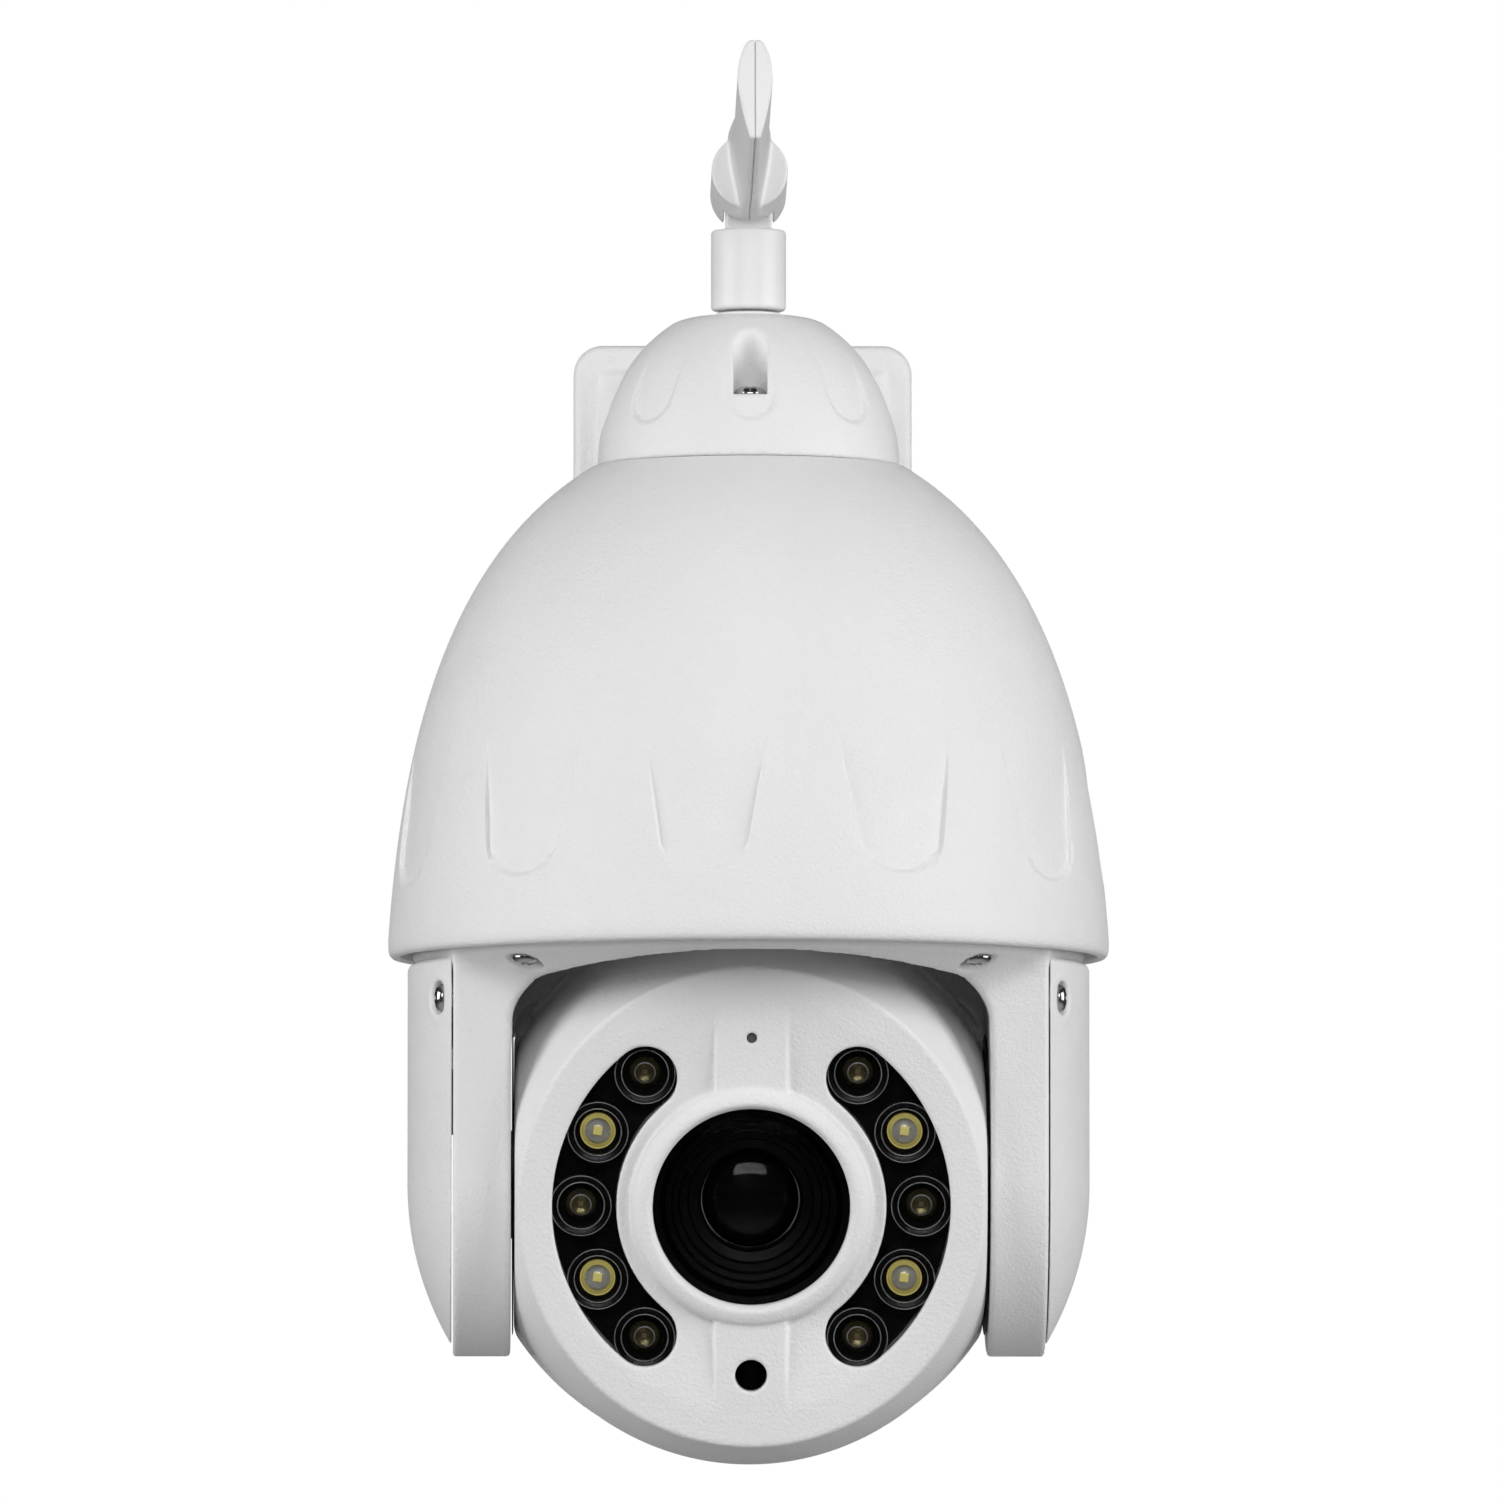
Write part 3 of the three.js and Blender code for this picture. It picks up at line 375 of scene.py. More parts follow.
def bump(nodes, links, shader, height, distance, strength=1.0, below=None):
    node = nodes.new("ShaderNodeBump")
    node.inputs["Distance"].default_value = distance
    node.inputs["Strength"].default_value = strength
    links.new(height, node.inputs["Height"])
    if below:
        links.new(below, node.inputs["Normal"])
    links.new(node.outputs["Normal"], shader.inputs["Normal"])
    return node.outputs["Normal"]


def object_coordinates(nodes):
    return nodes.new("ShaderNodeTexCoord").outputs["Object"]


def grey(value):
    return (value, value, value)


def powder_coat(name, light, dark, grain, roughness=0.5):
    """Off-white coat: a fine orange-peel grain over a slow, faint change of tone."""
    material, nodes, links, shader = new_material(name)
    where = object_coordinates(nodes)
    tone = noise(nodes, links, where, 35, 4)
    colour = ramp(nodes, links, tone, [(0.35, grey(dark)), (0.7, grey(light))])
    links.new(colour, shader.inputs["Base Color"])
    rough = noise(nodes, links, where, 180, 3)
    finish = ramp(nodes, links, rough, [(0.3, grey(roughness - 0.05)), (0.7, grey(roughness + 0.06))])
    links.new(finish, shader.inputs["Roughness"])
    shader.inputs["IOR"].default_value = 1.45
    coarse = bump(nodes, links, shader, noise(nodes, links, where, 1400, 2), grain, 0.8)
    bump(nodes, links, shader, noise(nodes, links, where, 2900, 2, 0.6), grain * 0.6, 0.8, coarse)
    return material


def plain(name, light, dark, roughness, scale, depth, metallic=0.0, coat=0.0, shine=0.5):
    """A moulded or turned material with faint changes of tone, finish and surface."""
    material, nodes, links, shader = new_material(name)
    where = object_coordinates(nodes)
    tone = noise(nodes, links, where, scale * 0.2, 3)
    links.new(ramp(nodes, links, tone, [(0.35, dark), (0.65, light)]), shader.inputs["Base Color"])
    rough = noise(nodes, links, where, scale * 0.6, 2)
    finish = ramp(nodes, links, rough, [(0.3, grey(roughness * 0.8)), (0.7, grey(min(1, roughness * 1.2)))])
    links.new(finish, shader.inputs["Roughness"])
    shader.inputs["Metallic"].default_value = metallic
    shader.inputs["Coat Weight"].default_value = coat
    shader.inputs["Specular IOR Level"].default_value = shine
    shader.inputs["Coat Roughness"].default_value = 0.05
    bump(nodes, links, shader, noise(nodes, links, where, scale * 2, 2), depth)
    return material


def clear(name, tint, opacity, ior=1.5):
    """Clear or smoked plastic that keeps its reflections: faint smears change its finish."""
    material, nodes, links, shader = new_material(name)
    where = object_coordinates(nodes)
    shader.inputs["Base Color"].default_value = (*tint, 1)
    smear = noise(nodes, links, where, 60, 3)
    finish = ramp(nodes, links, smear, [(0.4, grey(0.01)), (0.75, grey(0.025))])
    links.new(finish, shader.inputs["Roughness"])
    shader.inputs["IOR"].default_value = ior
    see_through = nodes.new("ShaderNodeBsdfTransparent")
    mix = nodes.new("ShaderNodeMixShader")
    rim = nodes.new("ShaderNodeFresnel")
    rim.inputs["IOR"].default_value = ior
    add = nodes.new("ShaderNodeMath")
    add.operation = "ADD"
    add.use_clamp = True
    add.inputs[1].default_value = opacity
    links.new(rim.outputs["Fac"], add.inputs[0])
    links.new(add.outputs["Value"], mix.inputs["Fac"])
    links.new(see_through.outputs["BSDF"], mix.inputs[1])
    links.new(shader.outputs["BSDF"], mix.inputs[2])
    links.new(mix.outputs["Shader"], nodes["Material Output"].inputs["Surface"])
    return material


COAT = powder_coat("powder_coat", 0.80, 0.78, 0.00019)
HEAD_COAT = powder_coat("head_coat", 0.79, 0.765, 0.00024)
ANTENNA_SKIN = powder_coat("antenna_skin", 0.79, 0.77, 0.00002, 0.4)
# Steel kept darker than its own tone, so that its reflections read as black: painted dark reflection.
DARKENED_STEEL = plain("stainless", grey(0.45), grey(0.33), 0.15, 900, 0.00001, metallic=1.0)
BRASS = plain("plated_brass", (0.78, 0.6, 0.28), (0.62, 0.45, 0.2), 0.25, 900, 0.00001, metallic=1.0)
RUBBER = plain("seal_rubber", grey(0.03), grey(0.02), 0.8, 500, 0.00003)
BLACK = plain("black_moulding", grey(0.004), grey(0.003), 0.3, 600, 0.000005, shine=0.2)
MATT_BLACK = plain("lens_black", grey(0.0015), grey(0.001), 0.4, 600, 0.000002, shine=0.12)
# Light-grey glossy rings on the lamps' edges: painted highlights on clear edges.
EDGE_HIGHLIGHT = plain("clear_edge_painted_highlight", grey(0.6), grey(0.4), 0.15, 900, 0.000002, coat=1.0)
MESH = plain("microphone_cloth", grey(0.2), grey(0.12), 0.8, 900, 0.00003)
GEAR = plain("acetal", (0.82, 0.8, 0.74), (0.74, 0.72, 0.66), 0.45, 500, 0.00001)
BOARD = plain("solder_mask", (0.03, 0.16, 0.09), (0.02, 0.1, 0.06), 0.35, 700, 0.00003, coat=0.4)
WINDOW = clear("window_glass", grey(0.002), 0.0, ior=1.35)
LAMP_WINDOW = clear("lamp_window", grey(0.002), 0.0, ior=1.4)
LENS_GLASS = clear("coated_lens", (0.002, 0.002, 0.004), 0.3)
LAMP_LENS = clear("lamp_lens", grey(0.05), 0.02)
WHITE_CUP = plain("white_lamp_cup", grey(0.75), grey(0.6), 0.25, 900, 0.00001, metallic=0.3)
DARK_CUP = plain("dark_lamp_cup", (0.2, 0.17, 0.07), (0.12, 0.1, 0.04), 0.25, 900, 0.00001, metallic=0.5)
PHOSPHOR = plain("phosphor_painted_glow", (0.98, 0.9, 0.34), (0.9, 0.8, 0.24), 0.4, 900, 0.000002)
DARK_DIE = plain("infrared_die", (0.3, 0.25, 0.12), (0.2, 0.16, 0.08), 0.3, 900, 0.00001)
# The phosphor's faint yellow glow stands in for the light that falls on it: painted light, not a lit lamp.
PHOSPHOR_PAINTED_GLOW = PHOSPHOR.node_tree.nodes["Principled BSDF"]
PHOSPHOR_PAINTED_GLOW.inputs["Emission Color"].default_value = (1, 0.85, 0.25, 1)
PHOSPHOR_PAINTED_GLOW.inputs["Emission Strength"].default_value = 0.22
SLOT_MATERIALS = {
    "shell": COAT, "antenna": ANTENNA_SKIN, "steel": DARKENED_STEEL, "brass": BRASS, "rubber": RUBBER,
    "black": BLACK, "gear": GEAR, "board": BOARD, "glass": WINDOW, "optic": LAMP_LENS,
}


def dress(piece, material, body, slot, *nodes):
    """Gives a piece its material, the body it rides on and the CAD nodes it stands for."""
    piece.data.materials.clear()
    piece.data.materials.append(material)
    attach(piece, body)
    if nodes:
        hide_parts(*nodes)
    return piece


def dress_cad_nodes():
    """The CAD nodes that stay, all of them inside, take a finished material by their slot."""
    slots = {part["node"]: part["material_slot"] for part in frame["record"]["subparts"]}
    for name, node in frame["nodes"].items():
        node.data.materials.clear()
        node.data.materials.append(SLOT_MATERIALS[slots[name]])


# ---- Hood ----
def bezier(t, inset=0.0):
    weights = ((1 - t) ** 3, 3 * t * (1 - t) ** 2, 3 * t * t * (1 - t), t ** 3)
    r, z = (sum(w * point[k] for w, point in zip(weights, HOOD_CURVE)) for k in (0, 1))
    return r - inset, z - inset * t


def scoop_half(z):
    """Half of a scoop's width at a height, in degrees."""
    above = np.clip(z - SCOOPS["bottom"], 0, SCOOPS["top"] - SCOOPS["bottom"])
    return SCOOPS["half_angle"] + SCOOPS["flare"] * above


def scoop_columns(z):
    """Angles round the hood for each height, packed closely along the scoops' edges."""
    half = scoop_half(z)[:, None]
    pitch = 360 / SCOOPS["count"]
    edge = np.arange(0.935, 1.03, 0.015)
    middle = np.concatenate([-edge[::-1], np.linspace(-0.9, 0.9, 13), edge]) * half
    start = edge[-1] * half
    beyond = start + (pitch / 2 - start) * np.array([0.25, 0.5, 0.75, 1])
    one = np.concatenate([-beyond[:, 2::-1], middle, beyond], axis=1)
    return np.concatenate([one + SCOOPS["first"] + pitch * n for n in range(SCOOPS["count"])], axis=1)


def scoop_depth(angle, z, r):
    """How far the hood is scooped in at an angle (degrees, 0 at the front) and height."""
    pitch = 360 / SCOOPS["count"]
    across = (angle - SCOOPS["first"] + pitch / 2) % pitch - pitch / 2
    bottom, top = SCOOPS["bottom"], SCOOPS["top"]
    half = np.radians(scoop_half(z)) * r
    below = np.clip((bottom + SCOOPS["round"] - z) / SCOOPS["round"], 0, 2)
    edge = half - length(np.radians(across) * r, below * half)
    wall = smoothstep(0, 1, (edge + 0.15) / (0.5 + np.clip(below, 0, 1)))
    return SCOOPS["depth"] * wall * (1 - smoothstep(0.4, 1, (z - bottom) / (top - bottom)))


def hood():
    rim, top = HOOD_CURVE[0][0], HOOD_CURVE[3][1]
    outer = [(rim + across, HOOD_RIM_Z + up) for across, up in HOOD_LIP]
    for start, end, rows in HOOD_ROWS:
        outer += [bezier(t) for t in np.linspace(start, end, rows, endpoint=False)]
    outer += [(HOOD_CURVE[3][0] + across, top + up) for across, up in HOOD_CROWN]
    inner = [(HOOD_TOP["hole"], outer[-1][1]), (HOOD_TOP["hole"], top - HOOD_TOP["thick"])]
    inner += [(HOOD_TOP["flat"], top - HOOD_TOP["thick"])]
    inner += [bezier(t, HOOD_WALL) for t in np.linspace(0.94, 0, 24)]
    inner += [(rim - HOOD_WALL, HOOD_RIM_Z + 0.6), (rim - HOOD_WALL + 0.5, HOOD_RIM_Z + 0.1)]
    profile = np.array(outer + inner)
    angles = scoop_columns(profile[:, 1])
    columns = angles.shape[1]
    r = np.repeat(profile[:, :1], columns, axis=1)
    z = np.repeat(profile[:, 1:], columns, axis=1)
    outside = np.arange(len(profile))[:, None] < len(outer)
    r = r - np.where(outside, scoop_depth(angles, z, r), 0)
    turn = np.radians(angles - 90)
    points = np.stack([r * np.cos(turn), r * np.sin(turn), z], -1).reshape(-1, 3)
    ring = np.arange(columns)
    step = np.roll(ring, -1)
    faces = []
    for row in range(len(profile)):
        here, there = row * columns, ((row + 1) % len(profile)) * columns
        faces += np.stack([here + ring, here + step, there + step, there + ring], 1).tolist()
    piece = finish_mesh("hood_shell", points.tolist(), faces, RIG)
    dress(crease(piece, 50), COAT, "root", "shell", "hood")


# ---- Bracket ----
def cap_petals(p):
    """How deep the shallow petals round the cap are; each fades out towards the top."""
    pitch = 360 / PETALS["count"]
    angle = np.degrees(np.arctan2(p[:, 0], -p[:, 1]))
    rho = length(p[:, 0], p[:, 1])
    across = (angle + pitch / 2) % pitch - pitch / 2
    rise = np.clip((p[:, 2] - PETALS["bottom"]) / PETALS["rise"], 0, 1)
    half = PETALS["half"] + PETALS["flare"] * rise
    below = np.maximum(PETALS["bottom"] + half - p[:, 2], 0)
    edge = half - length(np.radians(across) * rho, below)
    return PETALS["depth"] * (1 - smoothstep(0.1, 1, rise)) * smoothstep(-0.2, 0.7, edge)


def cap_field(p):
    """The domed cap: an ellipsoid with its petals scooped out, cut off flat at both ends."""
    rho, z = length(p[:, 0], p[:, 1]), p[:, 2]
    up = (z - CAP["centre"]) / CAP["half_height"]
    slope = length(rho / CAP["radius"] ** 2, up / CAP["half_height"])
    shell = (length(rho / CAP["radius"], up) - 1) / np.maximum(slope, 1e-3)
    shape = both(shell, z - CAP["top"], 1.6) + cap_petals(p)
    return both(shape, CAP["base"] - z, 0.5)


def plate_field(p):
    """The wall plate, with a raised lip inside the edge of its front."""
    y = p[:, 1]
    front = PLATE["y"] - PLATE["thick"]
    low = [-PLATE["half_width"], PLATE["centre_z"] - PLATE["half_height"]]
    high = [PLATE["half_width"], PLATE["centre_z"] + PLATE["half_height"]]
    flat = box(p[:, [0, 2]], low, high, PLATE["corner"])
    plate = both(both(flat, front - y, 1.8), y - PLATE["y"], 0.6)
    lip = both(both(flat + PLATE["lip_inset"], front - PLATE["lip_step"] - y, 1.2), y - PLATE["y"] + 1, 0.5)
    return either(plate, lip, 1.0)


def bracket_arm_field(p):
    x, y, z = p.T
    across, up = BRACKET_ARM["half"]
    flare = 1 + BRACKET_ARM["flare"] * smoothstep(BRACKET_ARM["flare_from"], BRACKET_ARM["flare_to"], y)
    section = np.stack([x / flare, z - BRACKET_ARM["z"]], 1)
    arm = box(section, [-across, -up], [across, up], BRACKET_ARM["round"])
    return both(arm, np.maximum(4 - y, y - PLATE["y"] + PLATE["thick"] - 2))


def on_pocket_circle(angle):
    """Where a cap screw stands, as (x, y); the angle is 0 at the front."""
    return POCKETS["circle"] * math.sin(angle), -POCKETS["circle"] * math.cos(angle)


def bracket_field(p):
    x, y, z = p.T
    body = either(either(cap_field(p), bracket_arm_field(p), 3), plate_field(p), 5)
    for angle in map(math.radians, POCKETS["angles"]):
        along = math.sin(angle) * x - math.cos(angle) * y
        aside = math.cos(angle) * x + math.sin(angle) * y
        pocket = length(aside, np.minimum(along - POCKETS["circle"], 0)) - POCKETS["half"]
        pocket = both(both(pocket, POCKETS["floor"] - z), POCKETS["circle"] - POCKETS["inward"] - along)
        body = without(body, pocket, 0.5)
    front = PLATE["y"] - PLATE["thick"]
    for sx in (-1, 1):
        for hole_z in PLATE_HOLES["z"]:
            centre = (sx * PLATE_HOLES["x"], PLATE["centre_z"] + hole_z)
            body = without(body, rod(p, 1, centre, PLATE_HOLES["bore"], 60, 99), 0.4)
            sink = rod(p, 1, centre, PLATE_HOLES["sink"], 50, front + PLATE_HOLES["sink_depth"])
            body = without(body, sink, 0.4)
    body = without(body, rod(p, 1, (0, CABLE_HOLE["z"]), CABLE_HOLE["radius"], 74, 99), 0.8)
    return without(body, rod(p, 2, (0, 0), 3.4, 165, 190), 0.3)


def bracket():
    piece = carve("bracket_casting", bracket_field, (-36, -32, 74), (36, 87, 175), CELLS["bracket"])
    dress(piece, COAT, "root", "shell", "wall_bracket")
    place = moved(RIG, 0, 0, CABLE_HOLE["z"])
    ring = [(4, 84.5), (6.8, 84.5), (7.2, 84.9), (7.8, 85), (7.8, 77), (4, 77)]
    grommet = lathe("cable_grommet_seal", ring, place, "Y", 64)
    dress(crease(grommet), RUBBER, "root", "rubber", "cable_grommet")
    disc = [(0, 83.8), (3.7, 83.8), (3.9, 83.4), (3.9, 77.2), (0, 77.2)]
    dress(crease(lathe("cable_hole_plug", disc, place, "Y", 48)), RUBBER, "root", "rubber")


# ---- Screws ----
def screw_field(head, height, shank):
    """A pan head with a cross recess, on +Z, its seat at z = 0."""
    arm, reach = head * RECESS["arm"], head * RECESS["reach"]

    def field(p):
        x, y, z = p.T
        rho, ball = length(x, y), head * 2
        body = both(length(x, y, z - height + ball) - ball, rho - head, 0.8)
        body = both(body, -z, 0.15)
        one = np.maximum(np.abs(x) - arm, np.abs(y) - reach)
        other = np.maximum(np.abs(y) - arm, np.abs(x) - reach)
        cone = (rho - reach + (height - z) * RECESS["slope"]) * 0.8
        cross = np.maximum(np.maximum(np.minimum(one, other), cone), height * RECESS["bottom"] - z)
        stem = rod(p, 2, (0, 0), shank, -SHANK_LENGTH, 0.5)
        return np.minimum(without(body, cross, 0.12), stem)

    return field


def screw(name, kind, place, node, body):
    head, height, shank = SCREWS[kind]
    piece = carve(name, screw_field(head, height, shank), (-head, -head, -SHANK_LENGTH),
                  (head, head, height), CELLS["screw"], place)
    dress(piece, DARKENED_STEEL, body, "steel", node)


def screws():
    for name, angle in zip(("front", "right", "left"), POCKETS["angles"]):
        place = moved(RIG, *on_pocket_circle(math.radians(angle)), POCKETS["floor"])
        screw(f"cap_fixing_{name}", "cap", place, f"cap_screw_{name}", "root")
    down = Matrix.Rotation(math.pi, 4, "X")
    for end, sy in (("front", -1), ("rear", 1)):
        for side, sx in (("left", -1), ("right", 1)):
            place = moved(RIG, sx * YOKE_SCREW["x"], sy * YOKE_SCREW["y"], YOKE_SCREW["z"]) @ down
            screw(f"yoke_fixing_{end}_{side}", "yoke", place, f"yoke_screw_{end}_{side}", "pan_yoke")
            place = moved(RIG, sx * COVER_SCREW["x"], sy * COVER_SCREW["y"], COVER_SCREW["z"])
            place = place @ Matrix.Rotation(sx * math.pi / 2, 4, "Y")
            screw(f"cover_fixing_{side}_{end}", "cover", place, f"cover_screw_{side}_{end}", "pan_yoke")


# ---- Yoke ----
def opening(x, z):
    """The space between the arms: upright sides and a shallow arch, with round shoulders."""
    arch = length(x, z - ARCH["top"] + ARCH["radius"]) - ARCH["radius"]
    return both(np.abs(x) - YOKE["inner"], arch, ARCH["corner"])


def bevelled_disc(rho, z, shrink=0.0):
    """The crown's plan circle and the cone under its edge, which rises outwards."""
    cone = (rho - BEVEL["radius"]) * BEVEL["sine"] - (z - YOKE["under"] + shrink) * BEVEL["cosine"]
    return rho - YOKE["radius"], cone


def skirt_field(x, y, z, rho):
    """The crown's lower edge behind the head, between the arms."""
    inside = both(z - YOKE["under"] - SKIRT["overlap"], SKIRT["inner"] - rho)
    skirt = both(both(rho - YOKE["radius"], SKIRT["z"] - z, 2), inside)
    return both(skirt, both(SKIRT["from_y"] - y, np.abs(x) - YOKE["outer"]), 0.6)


def well_field(x, z, rho):
    """The hollow above the head. Its plan follows the arch, one wall behind the bevel."""
    arch_z = ARCH["top"] - x * x / (2 * ARCH["radius"])
    reach = BEVEL["radius"] - BEVEL["wall"] + BEVEL["run"] * (arch_z - YOKE["under"])
    return both(both(rho - reach, z - WELL["top"], 2), np.abs(x) - WELL["half"], 2)


def yoke_field(p):
    x, y, z = p.T
    rho = length(x, y)
    crown = both(*bevelled_disc(rho, z), 1.2)
    crown = both(both(crown, YOKE["under"] - z, 0.5), z - YOKE["top"], 0.5)
    side = length(y, np.minimum(z, 0)) - YOKE["half"]
    legs = both(both(side, np.abs(x) - YOKE["outer"], 0.6), z - 50)
    body = either(legs, either(crown, skirt_field(x, y, z, rho)), 3.5)
    body = without(body, both(opening(x, z), y - YOKE["half"] - 1.5), 1.1)
    body = without(body, both(length(x, y, z) - CAVITY, np.abs(x) - YOKE["inner"], 1), 0.8)
    body = without(body, well_field(x, z, rho), 0.8)
    room = both(both(side + ARM_ROOM["wall"], z - ARM_ROOM["top"]), ARM_ROOM["inner"] - np.abs(x))
    body = without(body, room, 0.4)
    body = without(body, rod(p, 0, (0, 0), SHAFT_BORE, -60, 60), 0.3)
    for sx in (-1, 1):
        for sy in (-1, 1):
            centre = (sx * YOKE_SCREW["x"], sy * YOKE_SCREW["y"])
            body = without(body, rod(p, 2, centre, YOKE_SCREW["seat"], 30, YOKE_SCREW["z"]), 0.6)
    return body


def yoke():
    piece = carve("yoke_casting", yoke_field, (-69, -69, -35), (69, 69, 66), CELLS["yoke"])
    dress(piece, COAT, "pan_yoke", "shell", "yoke")


def cover_field(p):
    x, y, z = p.T
    x = np.abs(x)
    rho = length(x, y)
    ball = length(x, y, np.minimum(z, 0) * COVER["squash"]) - COVER["radius"]
    disc, cone = bevelled_disc(rho, z, CLEARANCE)
    shell = both(both(ball, z - COVER["top"], 1.5), YOKE["outer"] + CLEARANCE - x, 0.3)
    shell = without(shell, both(disc - CLEARANCE, cone))
    hollow_side = length(y, np.minimum(z, 0)) - COVER["room_half"]
    hollow = both(both(ball + COVER["wall"], z - COVER["room_top"]), hollow_side)
    body = without(shell, hollow, 0.3)
    for end in (-1, 1):
        centre = (end * COVER_SCREW["y"], COVER_SCREW["z"])
        body = either(body, both(rod(p, 0, centre, COVER_SCREW["boss"], -70, 70), shell), 0.3)
        sunk = length(y - centre[0], z - centre[1]) - COVER_SCREW["seat"]
        body = without(body, both(sunk, COVER_SCREW["x"] - x), 0.5)
    return body


def bushes():
    flange = [(9.2, 46.95), (29.5, 46.95), (30, 47.05), (30, 47.2)]
    profile = flange + [(10.8, 47.2), (10.8, 51.2), (9.2, 51.2)]
    for side, sign in (("left", -1), ("right", 1)):
        bush = lathe(f"tilt_bush_{side}", [(r, sign * h) for r, h in profile], RIG, "X", 96)
        dress(crease(bush), BLACK, "pan_yoke", "black", f"tilt_bearing_{side}")


def covers():
    for side, sign in (("left", -1), ("right", 1)):
        low, high = sorted((sign * 58, sign * 69))
        piece = carve(f"arm_cover_shell_{side}", cover_field, (low, -36, -36), (high, 36, 46),
                      CELLS["cover"])
        dress(piece, COAT, "pan_yoke", "shell", f"arm_cover_{side}")


# ---- Head ----
def kidney(x, z):
    """Flat distance to the bent slot that a lamp window fills, on both sides."""
    x, z = np.abs(x), np.abs(z)
    mid, end = KIDNEY["mid"], KIDNEY["end"]
    band = np.abs(length(x, z) - mid)
    tip = length(x - mid * math.cos(end), z - mid * math.sin(end))
    return np.where(np.arctan2(z, x) < end, band, tip) - KIDNEY["half"]


def ball_field(p):
    """The head's outer shape, cut off flat beside the arms."""
    x, y, z = p.T
    taper = np.sqrt(np.clip(1 - (y / NOSE["length"]) ** 2, 0.05, 1))
    nose = (length(x * NOSE["squash"], z) - BALL * taper) * 0.93
    whole = np.where(y < 0, nose, length(x, y, z) - BALL)
    return both(whole, np.abs(x) - FLAT, 0.8)


def face_height(x, z):
    """How far the face lies behind its rim: a shallow dish with a flat bar up its middle."""
    inward = (DISH["outer"] - length(x, z)) / (DISH["outer"] - DISH["inner"])
    return DISH["depth"] * np.clip(inward, 0, 1) * smoothstep(*DISH["bar"], np.abs(x))


def lens_collar(rho, y):
    """The raised ring round the lens: its crest, the slope outside it and the slope into its throat."""
    behind = COLLAR["front"] - y
    outer, inner = COLLAR["outer_slope"], COLLAR["inner_slope"]
    collar = both(rho - COLLAR["radius"], behind, 0.4)
    collar = both(collar, (behind + outer * (rho - COLLAR["crest"])) / 1.28, 1.0)
    collar = both(collar, (behind + inner * (COLLAR["throat"] - rho)) / 1.64, 0.4)
    return both(collar, y + 34)


def head_front_field(p):
    x, y, z = p.T
    rho = length(x, z)
    body = both(ball_field(p), FACE - y, 0.6)
    body = both(body, (FACE + face_height(x, z) - y) * 0.97, 0.15)
    body = both(body, y - SEAM + 0.4, 0.5)
    body = either(body, lens_collar(rho, y), 0.4)
    body = without(body, both(rho - LENS_WELL, np.maximum(y + 24, -60 - y)), 0.25)
    body = without(body, both(kidney(x, z), np.maximum(y + 31, -60 - y)), 0.35)
    body = without(body, rod(p, 1, (0, MICROPHONE["z"]), MICROPHONE["hole"], -60, -30), 0.25)
    return without(body, rod(p, 1, (0, SENSOR["z"]), SENSOR["hole"], -60, -30), 0.3)


def head_rear_field(p):
    shell = both(ball_field(p), SEAM + 0.4 - p[:, 1], 0.5)
    return without(shell, both(length(*p.T) - BALL + HEAD_WALL, np.abs(p[:, 0]) - FLAT + HEAD_WALL))


def head_shells():
    halves = (("front", head_front_field, -43, 17), ("rear", head_rear_field, 15, 57))
    for end, field, low_y, high_y in halves:
        shell = carve(f"head_{end}_casting", field, (-48, low_y, -57), (48, high_y, 57),
                      CELLS[f"head_{end}"], HEAD)
        dress(shell, HEAD_COAT, "head", "shell", f"head_{end}_shell")


def lens():
    """The cover glass, the stepped black mouth and the front element, as (radius, y) outlines."""
    cover = [(0, -38.9), (19.2, -38.9), (19.5, -38.7), (19.5, -37.6), (0, -37.6)]
    glass = lathe("lens_cover_glass", cover, HEAD, "Y", 128)
    dress(crease(glass), WINDOW, "head", "glass", "lens_window")
    steps = [(19.4, -37.4), (18.2, -37.2), (17.4, -36.4), (17.0, -34.2), (15.9, -34.0), (15.5, -31.8)]
    steps += [(14.4, -31.6), (14.0, -29.4), (12.6, -29.2), (12.2, -27.6), (10.4, -27.2), (9.8, -26.4)]
    steps += [(9.8, -24.2), (19.4, -24.2)]
    mouth = lathe("lens_mouth", steps, HEAD, "Y", 128)
    dress(crease(mouth), MATT_BLACK, "head", "black", "lens_barrel")
    front = lathe("lens_front_element", dome(9.6, 3.4, -24.4, 14) + [(0, -24.4)], HEAD, "Y", 96)
    dress(crease(front), LENS_GLASS, "head", "optic", "lens_element")
    iris = lathe("lens_iris", [(0, -24.35), (9.6, -24.35), (9.6, -24.25), (0, -24.25)], HEAD, "Y", 64)
    dress(iris, MATT_BLACK, "head", "black")


def dome(radius, rise, base, count):
    """The outline of a dome that bulges towards -Y, from its pole to its edge."""
    turns = np.linspace(0, math.pi / 2, count)
    return [(radius * math.sin(a), base - rise * math.cos(a)) for a in turns]


def kidney_outline(grow):
    """The kidney's edge on the +X side, as (x, z)."""
    mid, half, end = KIDNEY["mid"], KIDNEY["half"] + grow, KIDNEY["end"]

    def arc(centre_angle, radius, start, stop, count):
        x, z = (mid * math.cos(centre_angle), mid * math.sin(centre_angle)) if centre_angle else (0, 0)
        turns = np.linspace(start, stop, count)
        return [(x + radius * math.cos(a), z + radius * math.sin(a)) for a in turns]

    outline = arc(0, mid + half, -end, end, 40)
    outline += arc(end, half, end, end + math.pi, 14)[1:-1]
    outline += arc(0, mid - half, end, -end, 40)
    return outline + arc(-end, half, -end - math.pi, -end, 14)[1:-1]


